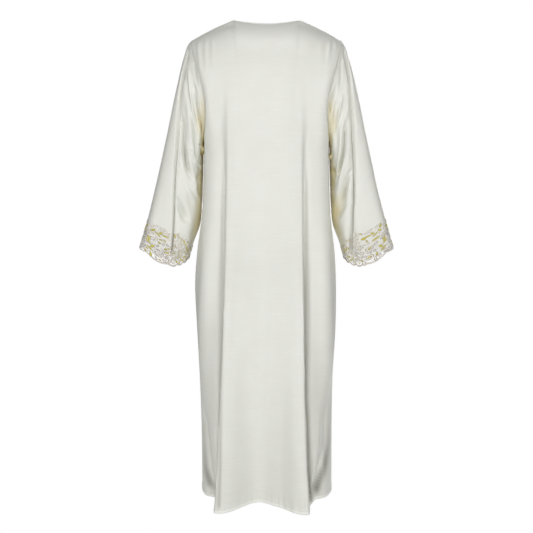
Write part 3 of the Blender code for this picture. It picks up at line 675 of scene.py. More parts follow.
# The neck's edge, where the binding presses into the cloth, and where the shoulder seams start
NECK_DITCH = 0.0006
NECK_DITCH_REACH = 0.003
SHOULDER_SEAM_START = 0.006

# The hem: how much lower it hangs where a fold stands out, and the puckers over its stitching
HEM_DROP = 0.26
HEM_DROP_REACH = 0.034
HEM_DROP_START = -1.25
HEM_PUCKER = 0.0006
HEM_PUCKER_PLACE = 0.014
HEM_PUCKER_REACH = 0.012
HEM_PUCKER_LENGTH = 0.011
HEM_SECOND_LENGTH = 0.0173
HEM_SWAY_LENGTH = 0.13

# The slight waves of hanging satin: their size and rise on a panel and on a sleeve
PANEL_WAVES = (0.060, 0.0006)
SLEEVE_WAVES = (0.045, 0.0008)
WAVE_COUNT = 7


def seam_relief(distance, along, pucker, phase):
    """The cloth's relief beside a seam, by the distance from it and the length along it."""
    ditch = -SEAM_DITCH * hump(distance, SEAM_DITCH_REACH)
    roll = SEAM_ROLL * hump(distance - SEAM_ROLL_PLACE, SEAM_ROLL_PLACE / 2)
    waves = wave(along, SEAM_PUCKER_LENGTH, phase) + 0.7 * wave(along, SEAM_SECOND_LENGTH, 2 * phase)
    strength = 0.6 + 0.4 * wave(along, SEAM_STRENGTH_LENGTH, phase)
    return ditch + roll + pucker * waves * strength * np.exp(-distance / SEAM_PUCKER_REACH)


def soft_waves(across, down, seed, size, rise):
    """Slight unevenness of hanging satin, as a few long waves with seeded directions."""
    chance = random.Random(seed)
    total = np.zeros_like(across)
    for _ in range(WAVE_COUNT):
        wide = size * chance.uniform(0.7, 1.8)
        tall = size * chance.uniform(2.5, 6.0)
        shift = chance.uniform(0, 2 * math.pi)
        drift = chance.uniform(-1.0, 1.0)
        total += wave(across, wide, drift * wave(down, tall) + shift)
    return rise * total / WAVE_COUNT


def panel_points(side):
    """Outer points and normals of the back (side -1) or front (side 1) panel, with its folds."""
    if side < 0:
        sizes, folds, lines, depth_column = BACK_SIZES, BACK_FOLDS, BACK_LINES, "back"
    else:
        sizes, folds, lines, depth_column = FRONT_SIZES, FRONT_FOLDS, FRONT_LINES, "front"
    place = column_places()
    cap = smooth_shoulders(panel_cap(place, depth_column, sizes, side), place)
    base = np.concatenate([cap, panel_skirt(place, depth_column, sizes, side)])
    across = base[..., 0]
    height = base[..., 2]
    rise = body_fold_rise(folds, across, height) + soft_line_rise(lines, across, height)
    rise += soft_waves(across, height, 3 + side, *PANEL_WAVES)
    off_seam = ease((1 - np.abs(place)) / SIDE_SEAM_REACH)
    points = base + grid_normals(base, -side) * (rise * off_seam)[..., None]
    near_hem = ramp(height, HEM_DROP_START, HEM_SIDE_Z)
    softer = [fold._replace(reach_right=max(fold.reach_right, HEM_DROP_REACH)) for fold in folds]
    points[..., 2] -= HEM_DROP * body_fold_rise(softer, across, height) * off_seam * near_hem
    normals = grid_normals(points, -side)
    from_left = arc_from_start(points, 1)
    from_side = np.minimum(from_left, from_left[:, -1:] - from_left)
    down = arc_from_start(points)
    relief = seam_relief(from_side, down, SEAM_PUCKER, 1.0 + side)
    past_neck = np.abs(place) * SHOULDER_HALF_WIDTH - NECK_HALF_WIDTH
    on_shoulder = ease(past_neck / SHOULDER_SEAM_START)
    relief += seam_relief(down, from_left, 0.4 * SEAM_PUCKER, 2.0 + side) * on_shoulder
    relief -= NECK_DITCH * hump(down, NECK_DITCH_REACH) * (1 - on_shoulder)
    waves = wave(across, HEM_PUCKER_LENGTH, 5 * wave(across, HEM_SWAY_LENGTH))
    waves += 0.7 * wave(across, HEM_SECOND_LENGTH, 1.0)
    relief += HEM_PUCKER * waves * hump(down[-1:] - down - HEM_PUCKER_PLACE, HEM_PUCKER_REACH)
    points = points + normals * relief[..., None]
    points[..., 1] += side * SEAM_GAP / 2
    return points, grid_normals(points, -side)


def turned_angle(angle, along):
    """The angle, moved so that one column of points follows the long crease."""
    shift = read_off(SLEEVE, "along", "crease_angle", along) - CREASE_COLUMN_ANGLE
    outer = angle + shift * angle / CREASE_COLUMN_ANGLE
    inner = angle + shift * (180.0 - angle) / (180.0 - CREASE_COLUMN_ANGLE)
    return np.where(angle > 180.0, angle, np.where(angle <= CREASE_COLUMN_ANGLE, outer, inner))


def sleeve_ring(angle, along):
    """Points of the right sleeve's plain oval rings."""
    names = ("outer_x", "outer_z", "inner_x", "inner_z", "half_depth")
    outer_x, outer_z, inner_x, inner_z, half_depth = (
        read_off(SLEEVE, "along", name, along) for name in names
    )
    turn = np.radians(angle)
    inward = (1 - np.cos(turn)) / 2
    y = SLEEVE_TUCK * ease(along / TUCK_START) * inward - half_depth * np.sin(turn)
    dip = np.where(angle <= 180.0, CUFF_BACK_DIP, CUFF_FRONT_DIP)
    lean = np.radians(angle - CUFF_DIP_ANGLE * np.sin(turn))
    z = between(outer_z, inner_z, inward) - dip * np.sin(lean) ** 2 * along**3
    return np.stack([between(outer_x, inner_x, inward), y, z], axis=-1)


def sleeve_base(angle, along):
    """Points of the right sleeve before its folds, from the armhole's seam outwards."""
    angle = np.mod(angle, 360.0)
    inside = np.minimum(along, 1.0)
    around = np.where(angle <= 180.0, angle, 360.0 - angle)
    depth = np.where(angle <= 180.0, -ARMHOLE_BACK_DEPTH, ARMHOLE_FRONT_DEPTH)
    hold = np.maximum(1 - inside / ARMHOLE_REACH, 0.0) ** 2
    seam = armhole_point(around, depth) - sleeve_ring(angle, np.zeros_like(angle))
    points = sleeve_ring(turned_angle(angle, inside), inside) + seam * hold[..., None]
    points[..., 0] += SEAM_GAP
    return points


def sleeve_normals(surface, angle, along, step_angle, step_along):
    """Unit vectors square to a sleeve's surface, from its points a small step away each way."""
    ahead = surface(angle + step_angle, along) - surface(angle - step_angle, along)
    lower = surface(angle, np.minimum(along + step_along, 1.0))
    upper = surface(angle, np.maximum(along - step_along, 0.0))
    return unit(np.cross(ahead, lower - upper))


def sleeve_surface(angle, along, form):
    """Points of the right sleeve with its folds, at any angles and places along it."""
    inside = np.clip(along, 0.0, 1.0)
    turned = turned_angle(np.mod(angle, 360.0), inside)
    across = turned * AROUND
    down = inside * DOWN
    rise = sleeve_fold_rise(form.folds, turned, inside) + soft_line_rise(form.lines, across, down)
    corner = hump(turned - FLAT_CORNER, FLAT_REACH) + hump(turned - 360.0 + FLAT_CORNER, FLAT_REACH)
    rise += FLAT_RISE * corner * ease(inside / ARMHOLE_REACH)
    ring = np.sin(np.radians(angle)) * WAVE_RING
    rise += soft_waves(ring, down, form.seed, *SLEEVE_WAVES) * ease(inside / WAVE_START)
    kinks = soft_line_rise(form.kinks, across, down)
    rise = rise * beside_body(turned) + kinks * (1 - hump(turned - KINK_SEAM_ANGLE, KINK_SEAM_REACH))
    normals = sleeve_normals(sleeve_base, angle, inside, *BASE_STEPS)
    return sleeve_base(angle, inside) + rise[..., None] * normals


def sleeve_points(angle, along, form):
    """Points and outward normals of the right sleeve, also a little past its end."""

    def surface(any_angle, any_along):
        return sleeve_surface(any_angle, any_along, form)

    points = surface(angle, along)
    tail = (points - surface(angle, np.full_like(along, 1.0 - END_STEP))) / END_STEP
    points = points + tail * np.maximum(along - 1.0, 0.0)[..., None]
    return points, sleeve_normals(surface, angle, np.minimum(along, 1.0), 1.0, END_STEP)


def painted_gold_on_sleeve(angle, along, form):
    """Painted gold shade where the satin mirrors itself: near the body, in valleys and pouches."""
    turned = turned_angle(angle, along)
    from_body = np.abs(turned - 180.0)
    across = turned * AROUND
    down = along * DOWN
    inner = ramp(from_body - GOLD_WIDENING * along, *GOLD_BESIDE_BODY)
    inner *= ramp(along, *GOLD_ABOVE_CUFF)
    # The first two lines are the crease, which stays in the light
    hollow = np.clip(-soft_line_rise(form.lines[2:], across, down) / HOLLOW_DEPTH, 0.0, 1.0)
    hollow *= ramp(from_body, *GOLD_IN_HOLLOWS)
    # The underarm pouch gets full painted gold shade
    kink = np.clip(soft_line_rise(form.kinks, across, down) / KINK_HEIGHT, 0.0, 1.0)
    armhole = ramp(along, *GOLD_BY_ARMHOLE) * ramp(turned, *GOLD_BEHIND_ARM)
    armhole *= ramp(turned, *GOLD_BEFORE_SEAM)
    return np.clip(0.8 * inner + 0.22 * hollow + 0.5 * armhole + kink, 0.0, 1.0)


SleeveForm = namedtuple("SleeveForm", "folds lines kinks seed side")
SLEEVES = {
    "left": SleeveForm(LEFT_SLEEVE_FOLDS, LEFT_SLEEVE_LINES, LEFT_KINKS, 11, -1.0),
    "right": SleeveForm(RIGHT_SLEEVE_FOLDS, RIGHT_SLEEVE_LINES, RIGHT_KINKS, 17, 1.0),
}


def lace_height(angle):
    """Height of the lace's cut upper edge above its scallops."""
    plain = read_off(LACE_TOP, "angle", "height", np.mod(angle, 360.0))
    return plain + LACE_TOP_WAVE * np.sin(np.radians(angle * LACE_TOP_WAVES))


def scallop_reach(angle):
    """How far the scallops hang below the cuff's plain edge, deepest in the middle of each."""
    bow = np.abs(np.sin(np.radians(angle * SCALLOPS / 2)))
    return SCALLOP_DEPTH * bow**SCALLOP_ROUNDNESS


def lace_points(side_name, angle, height, lift=0.0):
    """Points on a lace cuff at angles round it, heights over its edge and distances off the satin."""
    form = SLEEVES[side_name]
    end, above_end = (
        sleeve_points(angle, np.full_like(angle, along), form)[0] for along in (1.0, SATIN_END)
    )
    length = np.linalg.norm(end - above_end, axis=-1) / (1.0 - SATIN_END)
    points, normals = sleeve_points(angle, 1.0 - height / length, form)
    points = points + normals * (LACE_GAP + lift * np.ones_like(angle))[..., None]
    points[..., 0] *= form.side
    return points


def cuff_girth(side_name):
    """Length round the cuff's plain edge."""
    angle = np.linspace(0.0, 360.0, 240, endpoint=False)
    points = lace_points(side_name, angle, np.zeros_like(angle))
    return float(np.linalg.norm(points - np.roll(points, 1, axis=0), axis=1).sum())


def linear(hex_colour):
    """An sRGB hex colour as linear values with a full alpha."""
    values = [int(hex_colour[index : index + 2], 16) / 255 for index in (1, 3, 5)]
    turned = [v / 12.92 if v <= 0.04045 else ((v + 0.055) / 1.055) ** 2.4 for v in values]
    return (*turned, 1.0)


def add_node(tree, kind, inputs=(), **settings):
    """Adds a node with its settings. An input takes a value, a hex colour or a socket's link."""
    node = tree.nodes.new(kind)
    for name, value in settings.items():
        setattr(node, name, value)
    for name, value in dict(inputs).items():
        if isinstance(value, bpy.types.NodeSocket):
            tree.links.new(value, node.inputs[name])
        else:
            given = linear(value) if isinstance(value, str) else value
            node.inputs[name].default_value = given
    return node


def new_tree(owner):
    """The empty node tree of a material or a world."""
    owner.use_nodes = True
    owner.node_tree.nodes.clear()
    return owner.node_tree


def stretched(tree, vector, width, height):
    """Coordinates in which a pattern of those real sizes is one unit wide and high."""
    inputs = {"Scale": (1 / width, 1 / height, 1.0), "Vector": vector}
    return add_node(tree, "ShaderNodeMapping", inputs).outputs["Vector"]


def noise(tree, vector, size, detail, roughness=0.5):
    """Soft noise whose patches have that real size."""
    inputs = {"Scale": 1 / size, "Detail": detail, "Roughness": roughness, "Vector": vector}
    return add_node(tree, "ShaderNodeTexNoise", inputs).outputs["Fac"]


def mixed_colour(tree, share, first, second):
    """A colour that goes from the first to the second with the share."""
    # A mix node's inputs 6 and 7 are its two colours
    inputs = {0: share, 6: first, 7: second}
    node = add_node(tree, "ShaderNodeMix", inputs, data_type="RGBA", blend_type="MIX")
    return node.outputs[2]


def stored_share(tree, name):
    """A share that a piece keeps on its points."""
    return add_node(tree, "ShaderNodeAttribute", attribute_name=name).outputs["Fac"]


def surface_shader(tree, colour, roughness, ior, height=None, bump=(0.0, 0.0), **more):
    """A shader of cloth, thread or paper. The bump is its strength and real height."""
    inputs = {"Base Color": colour, "Roughness": roughness, "Metallic": 0.0, "IOR": ior}
    if height:
        relief = {"Strength": bump[0], "Distance": bump[1], "Height": height}
        inputs["Normal"] = add_node(tree, "ShaderNodeBump", relief).outputs["Normal"]
    inputs.update({name.replace("_", " "): value for name, value in more.items()})
    return add_node(tree, "ShaderNodeBsdfPrincipled", inputs).outputs["BSDF"]


def finished(material, shader):
    """The material with its shader joined to its output."""
    add_node(material.node_tree, "ShaderNodeOutputMaterial", {"Surface": shader})
    return material


def mixed_shader(tree, share, first, second):
    """A shader that goes from the first to the second with the share."""
    inputs = {0: share, 1: first, 2: second}
    return add_node(tree, "ShaderNodeMixShader", inputs).outputs["Shader"]


def cloth_place(tree):
    """Real lengths across and down the cloth."""
    return add_node(tree, "ShaderNodeUVMap", uv_map="cloth").outputs["UV"]


def satin_material(name, light_hex, deep_hex, gold_shade_hex, roughness):
    """Woven polyester satin: its long floats give a soft sheen and faint streaks down the cloth."""
    material = bpy.data.materials.new(name)
    tree = new_tree(material)
    cloth = cloth_place(tree)
    # Real floats lie 0.12 mm apart; they are drawn 2 mm wide and 45 mm long, or none would show
    floats = noise(tree, stretched(tree, cloth, width=0.002, height=0.045), size=1.0, detail=2.0)
    # Patches about 60 mm across, where the dye and the light in the cloth differ a little
    patches = noise(tree, cloth, size=0.06, detail=3.0, roughness=0.55)
    tone = mixed_colour(tree, patches, light_hex, deep_hex)
    # Here and there a thicker weft thread shows as a faint pale line, 60 mm long and 2 mm high
    slubs = noise(tree, stretched(tree, cloth, width=0.06, height=0.002), size=1.0, detail=1.0)
    limits = {"From Min": 0.60, "From Max": 0.85, "To Min": 0.0, "To Max": 0.5, "Value": slubs}
    slub_share = add_node(tree, "ShaderNodeMapRange", limits).outputs["Result"]
    threaded = mixed_colour(tree, slub_share, tone, "#F4F4EE")
    # Painted gold shade: where the cloth faces itself in shade, a stored share paints it in
    # its own deeper colour
    gold_shaded = mixed_colour(tree, stored_share(tree, "warmth"), threaded, gold_shade_hex)
    # Painted shade: deep in a narrow fold little of the studio's light arrives, so a stored share
    # paints the satin grey-brown there
    shaded = mixed_colour(tree, stored_share(tree, "shade"), gold_shaded, "#6E6A62")
    sheen = {"Specular_IOR_Level": 0.5, "Sheen_Weight": 0.08, "Sheen_Roughness": 0.4}
    shader = surface_shader(tree, shaded, roughness, 1.62, floats, (0.10, 0.0004), **sheen)
    return finished(material, shader)


def net_material(name, thread_hex, cell):
    """Machine-made tulle: fine threads round open cells, so that the cloth behind shows through."""
    material = bpy.data.materials.new(name)
    tree = new_tree(material)
    inputs = {"Scale": 1 / cell, "Randomness": 0.25, "Vector": cloth_place(tree)}
    cells = add_node(tree, "ShaderNodeTexVoronoi", inputs, feature="DISTANCE_TO_EDGE")
    # The threads are 0.35 mm thick where real ones are 0.1 mm, or the net would vanish
    inputs = {0: cells.outputs["Distance"], 1: 0.16}
    thread = add_node(tree, "ShaderNodeMath", inputs, operation="LESS_THAN").outputs["Value"]
    open_cell = add_node(tree, "ShaderNodeBsdfTransparent").outputs["BSDF"]
    shader = surface_shader(tree, thread_hex, roughness=0.7, ior=1.5)
    return finished(material, mixed_shader(tree, thread, open_cell, shader))


def thread_material(name, light_hex, deep_hex, stitch_width):
    """Rayon or polyester thread laid in stitches: close shiny ribs with darker gaps between."""
    material = bpy.data.materials.new(name)
    tree = new_tree(material)
    # A light and a dark rib, each a stitch wide, fill 2 pi / 20 of the wave's own coordinates
    scale = math.pi / (20 * stitch_width)
    inputs = {"Scale": scale, "Distortion": 1.5, "Detail": 1.0, "Vector": cloth_place(tree)}
    bands = {"wave_type": "BANDS", "bands_direction": "X", "wave_profile": "SIN"}
    ribs = add_node(tree, "ShaderNodeTexWave", inputs, **bands).outputs["Fac"]
    tone = mixed_colour(tree, ribs, deep_hex, light_hex)
    gloss = {"Specular_IOR_Level": 0.5, "Sheen_Weight": 0.1}
    return finished(material, surface_shader(tree, tone, 0.45, 1.5, ribs, (0.5, 0.0003), **gloss))


def paper_material(name, colour_hex):
    """Matt studio paper: it only gives the eye an even pale ground with a faint grain."""
    material = bpy.data.materials.new(name)
    tree = new_tree(material)
    place = add_node(tree, "ShaderNodeTexCoord").outputs["Object"]
    grain = noise(tree, place, size=0.004, detail=2.0)
    shader = surface_shader(tree, colour_hex, 0.9, 1.45, grain, (0.05, 0.0005))
    # The paper is lit to pure white behind the garment, so it is seen brighter than it shines
    seen = add_node(tree, "ShaderNodeLightPath").outputs["Is Camera Ray"]
    lit = add_node(tree, "ShaderNodeEmission", {"Strength": 1.0}).outputs["Emission"]
    return finished(material, mixed_shader(tree, seen, shader, lit))


def grid_faces(rows, count, closed, start):
    """Quads of a grid of points whose first one has the index start, with each corner's place."""
    columns = count if closed else count - 1
    down, across = np.meshgrid(np.arange(rows - 1), np.arange(columns), indexing="ij")
    down = down.ravel()
    across = across.ravel()
    following = (across + 1) % count
    corners = [
        down * count + across,
        (down + 1) * count + across,
        (down + 1) * count + following,
        down * count + following,
    ]
    places = [(across, down), (across, down + 1), (across + 1, down + 1), (across + 1, down)]
    return np.stack(corners, axis=1) + start, np.array(places).transpose(2, 0, 1)


# The angle in degrees from which an edge shows sharp
SHARP_ANGLE = 50.0


def mesh_from(name, points, faces, uvs, materials, face_slots=None):
    """A smooth mesh object with its cloth coordinates."""
    mesh = bpy.data.meshes.new(name)
    mesh.from_pydata(points.reshape(-1, 3).tolist(), [], faces.tolist())
    layer = mesh.uv_layers.new(name="cloth")
    layer.data.foreach_set("uv", uvs.astype(np.float32).ravel())
    for material in materials:
        mesh.materials.append(material)
    if face_slots is not None:
        mesh.polygons.foreach_set("material_index", face_slots.astype(np.int32))
    mesh.validate()
    shape = bmesh.new()
    shape.from_mesh(mesh)
    bmesh.ops.recalc_face_normals(shape, faces=shape.faces)
    shape.to_mesh(mesh)
    shape.free()
    mesh.shade_smooth()
    mesh.set_sharp_from_angle(angle=math.radians(SHARP_ANGLE))
    piece = bpy.data.objects.new(name, mesh)
    bpy.context.scene.collection.objects.link(piece)
    return piece


def shell_piece(name, outer, inner, closed, cloth_u, cloth_v, materials, hem_rows=0):
    """A thin shell of cloth between two grids. The last hem_rows rows take the second material."""
    rows, count = outer.shape[:2]
    size = rows * count
    quads, spots = grid_faces(rows, count, closed, 0)
    slot = (spots[:, :, 1].min(axis=1) >= rows - 1 - hem_rows).astype(int)
    faces = [quads, quads[:, ::-1] + size]
    places = [spots, spots[:, ::-1]]
    slots = [slot, slot]
    across = np.arange(count if closed else count - 1)
    down = np.arange(rows - 1)
    rims = [(across, 0, across + 1, 0, 0)]
    rims.append((across, rows - 1, across + 1, rows - 1, min(hem_rows, 1)))
    if not closed:
        for column in (0, count - 1):
            rims.append((column, down, column, down + 1, down >= rows - 1 - hem_rows))
    for rim in rims:
        column, row, next_column, next_row, slot = np.broadcast_arrays(*rim)
        here = row * count + column
        there = next_row * count + next_column % count
        spot = np.stack([column, row], axis=1)
        next_spot = np.stack([next_column, next_row], axis=1)
        faces.append(np.stack([here, there, there + size, here + size], axis=1))
        places.append(np.stack([spot, next_spot, next_spot, spot], axis=1))
        slots.append(slot)
    places = np.concatenate(places)
    uvs = np.stack([cloth_u[places[..., 0]], cloth_v[places[..., 1]]], axis=-1)
    points = np.stack([outer, inner])
    return mesh_from(name, points, np.concatenate(faces), uvs, materials, np.concatenate(slots))


def patches_piece(name, patches, material):
    """One object from many small open grids of points, each with its own cloth coordinates."""
    faces = []
    uvs = []
    start = 0
    for grid, width, length in patches:
        rows, count = grid.shape[:2]
        quads, places = grid_faces(rows, count, False, start)
        faces.append(quads)
        uvs.append(places * np.array([width / (count - 1), length / (rows - 1)]))
        start += rows * count
    points = np.concatenate([grid.reshape(-1, 3) for grid, _, _ in patches])
    return mesh_from(name, points, np.concatenate(faces), np.concatenate(uvs), [material])


def keep_share(piece, name, share):
    """Stores a share from 0 to 1 on a shell's points, for its satin to use."""
    layer = piece.data.attributes.new(name, "FLOAT", "POINT")
    layer.data.foreach_set("value", np.tile(share.ravel(), 2).astype(np.float32))


def settle(piece, node):
    """Makes a piece part of the garment's body and, if it stands for a solid, hides that solid."""
    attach(piece, "root")
    if node:
        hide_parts(node)
    return piece


def length_setting(label, note, metres):
    """A length that a user may change."""
    return bpy.props.FloatProperty(name=label, description=note, default=metres, unit="LENGTH")


def colour_setting(label, note, hex_colour):
    """An sRGB hex colour that a user may change."""
    return bpy.props.StringProperty(name=label, description=note, default=hex_colour)


class AbayaSizes(bpy.types.PropertyGroup):
    """Sizes of the cloth and the sewing."""

    stitch_pitch: length_setting("Stitch pitch", "Distance from one hem stitch to the next", 0.0032)
    stitch_width: length_setting("Stitch width", "Thickness of the sewing thread", 0.0006)
    hem_swell: length_setting("Hem swell", "How far the turned hem stands out", 0.0012)
    net_cell: length_setting("Net cell", "Size of one cell of the lace's net", 0.0018)
    scroll_width: length_setting("Scroll width", "Width of the white scrolls", 0.0036)
    edge_cord: length_setting("Edge cord", "Height of the cord along the scallops", 0.0032)


class AbayaColours(bpy.types.PropertyGroup):
    """Colours of the cloth, the lace and the studio, as sRGB hex values."""

    satin_light: colour_setting("Satin", "Ivory of the satin", "#E3E4DE")
    satin_deep: colour_setting("Satin, deeper", "Ivory where it is a little deeper", "#DDDDD4")
    # Colour of the painted gold shade where the satin faces itself
    satin_warm: colour_setting("Satin, in folds", "Gold where the satin faces itself", "#D6C78E")
    hem_light: colour_setting("Hem", "Ivory of the doubled satin of hem and binding", "#FAF9F3")
    net: colour_setting("Net", "White of the lace's net", "#F0EEE8")
    white_thread: colour_setting("White thread", "White of the scrolls", "#F7F5EE")
    gold_thread: colour_setting("Gold thread", "Olive gold of the leaves", "#DCD35E")
    gold_deep: colour_setting("Gold thread, deeper", "The gold between its stitches", "#BBAE3E")
    # Taupe outline thread, partly painted shade round the raised motifs
    taupe_thread_and_shade: colour_setting("Taupe thread", "Taupe that outlines the motifs", "#84705C")
    floor: colour_setting("Floor", "Pale paper of the studio's floor", "#F7F7F5")


def sizes():
    """The sizes that the sidebar shows."""
    return bpy.context.scene.abaya_sizes


def colours():
    """The colours that the sidebar shows."""
    return bpy.context.scene.abaya_colours


def shared(name, maker, *settings):
    """The material of that name, made once."""
    found = bpy.data.materials.get(name)
    return found if found else maker(name, *settings)


# The satins by name: light and deeper colour, and roughness. Where satin lies double it lets
# less light through and looks brighter
SATINS = {
    "ivory_satin_woven": ("satin_light", "satin_deep", 0.42),
    "ivory_satin_doubled": ("hem_light", "satin_light", 0.42),
    "ivory_satin_binding": ("hem_light", "satin_light", 0.34),
}


def satin(name):
    """One of the garment's satins."""
    light, deep, roughness = SATINS[name]
    hexes = [getattr(colours(), colour) for colour in (light, deep, "satin_warm")]
    return shared(name, satin_material, *hexes, roughness)


# Widths over which the cloth's own coordinates run on a panel and round a sleeve
PANEL_HALF_WIDTH = 0.21
SLEEVE_GIRTH = 0.46


class ABAYA_OT_body(bpy.types.Operator):
    """Lay the back and the front panel, with their folds, seams and turned hems"""

    bl_idname = "abaya.body"
    bl_label = "Body panels"

    def execute(self, context):
        for name, side in (("back_panel", -1), ("front_panel", 1)):
            points, normals = panel_points(side)
            rows, count = points.shape[:2]
            turned = np.arange(rows) >= rows - 1 - HEM_ROWS
            swell = np.where(turned, sizes().hem_swell, 0.0)
            swell[-1] = 0.0
            outer = points + normals * swell[:, None, None]
            inner = points - normals * np.where(turned, SATIN_WALL, SATIN_SHELL)[:, None, None]
            cloth_u = np.linspace(-PANEL_HALF_WIDTH, PANEL_HALF_WIDTH, count)
            cloth_v = arc_from_start(points[:, count // 2])
            materials = [satin("ivory_satin_woven"), satin("ivory_satin_doubled")]
            piece = shell_piece(
                name + "_satin", outer, inner, False, cloth_u, cloth_v, materials, HEM_ROWS
            )
            if side < 0:
                # Painted shade in the back's narrowest folds
                shade = soft_line_rise(BACK_SHADES, points[..., 0], points[..., 2])
                shade *= ease((-points[..., 1] - SHADE_START) / SHADE_FADE)
                keep_share(piece, "shade", np.clip(shade, 0.0, 1.0))
            settle(piece, name)
        return {"FINISHED"}


class ABAYA_OT_sleeves(bpy.types.Operator):
    """Set in the two sleeves, with their crease and folds"""

    bl_idname = "abaya.sleeves"
    bl_label = "Sleeves"

    def execute(self, context):
        down = crowded_places(SLEEVE_ROWS, 0.0, SATIN_END, SLEEVE_ROW_CROWDING)
        turns = crowded_places(SLEEVE_COLUMNS + 1, 0.0, 360.0, SLEEVE_COLUMN_CROWDING)
        along, angle = np.meshgrid(down, turns[:-1], indexing="ij")
        for name, form in SLEEVES.items():
            points, normals = sleeve_points(angle, along, form)
            relief = seam_relief(along * DOWN, angle * AROUND, SEAM_PUCKER, form.seed)
            points = points + normals * relief[..., None]
            inner = points - normals * SATIN_SHELL
            for grid in (points, inner):
                grid[..., 0] *= form.side
            cloth_u = turns / 360.0 * SLEEVE_GIRTH
            materials = [satin("ivory_satin_woven")]
            piece = shell_piece(
                f"sleeve_{name}_satin", points, inner, True, cloth_u, down * DOWN, materials
            )
            # Painted gold shade near the body, in hollows and in the underarm pouch
            keep_share(piece, "warmth", painted_gold_on_sleeve(angle, along, form))
            settle(piece, "sleeve_" + name)
        return {"FINISHED"}


# Places across a leaf or a stroke of thread, from edge to edge
CROSS = np.linspace(-1.0, 1.0, 5)[None, :]


def leaf_patch(spot, turn, length, width, rise, point):
    """A domed leaf, petal or dot as a grid of places across, up and off the lace."""
    run = np.linspace(0.0, math.pi, 8)[:, None]
    x = -length / 2 * np.cos(run) * np.ones_like(CROSS)
    y = np.maximum(width / 2 * np.sin(run) ** point, TIP_WIDTH) * CROSS
    z = rise * (1 - CROSS**2) * np.sin(run) ** 0.6
    cosine = math.cos(turn)
    sine = math.sin(turn)
    across = spot[0] + x * cosine - y * sine
    return np.stack([across, spot[1] + x * sine + y * cosine, z], axis=-1), width, length


def stroke_patch(path, width, rise):
    """A rounded stroke of embroidery along a path across the lace, thinner at its ends."""
    ahead = unit(np.gradient(path, axis=0))
    run = np.linspace(0.0, 1.0, len(path))[:, None]
    taper = np.minimum(1.0, 0.35 + 3.0 * np.minimum(run, 1 - run))
    aside = width / 2 * taper * CROSS
    x = path[:, :1] - ahead[:, 1:] * aside
    y = path[:, 1:] + ahead[:, :1] * aside
    z = rise * taper * np.sqrt(np.maximum(1 - CROSS**2, 0.0))
    return np.stack([x, y, z], axis=-1), width, arc_from_start(path)[-1]


def scroll_path(spot, size, start, hand):
    """A spiral of a little over one turn that starts at its outer end."""
    run = np.linspace(0.0, 1.0, 22)
    radius = size / 2 * (1 - SCROLL_TIGHTENING * run)
    angle = start + hand * run * SCROLL_TURNS * 2 * math.pi
    return np.stack([spot[0] + radius * np.cos(angle), spot[1] + radius * np.sin(angle)], axis=1)


# The dark thread round each motif, which is partly painted shade where the raised motif meets
# the net, the height over which it turns pale, and both reliefs
OUTLINE = 0.0007
OUTLINE_TOP = 0.056
OUTLINE_RISE = 0.0004
LEAF_RISE = 0.0012
STROKE_RISE = 0.0010
TIP_WIDTH = 0.00012

# A scroll: its turns, how far it tightens, the least size and the size at which it is full width
SCROLL_TURNS = 1.1
SCROLL_TIGHTENING = 0.78
SCROLL_LEAST = 0.009
SCROLL_FULL = 0.017
PETALS = 5

# The filling between the sprays: tries, tries for each size, and the sizes from large to small
FILL_TRIES = 3400
TRIES_PER_SIZE = 350
FILL_SIZES = (0.014, 0.011, 0.008, 0.006)
FILL_MARGIN = 0.003
FILL_ROOM = 0.92
FILL_TOP_ROOM = 0.45
FILL_CROWDING = 1.15
GOLD_SHARE = 0.38
SCROLL_SHARE = 0.5
LEAF_SHARE = 0.35

# The leaves of a spray: place along it, lean of the leaf and its share of the spray's length
SPRAY_LEAVES = ((-0.5, 0.7, 0.50), (-0.16, -0.8, 0.54), (0.2, 0.7, 0.50), (0.56, -0.2, 0.56))


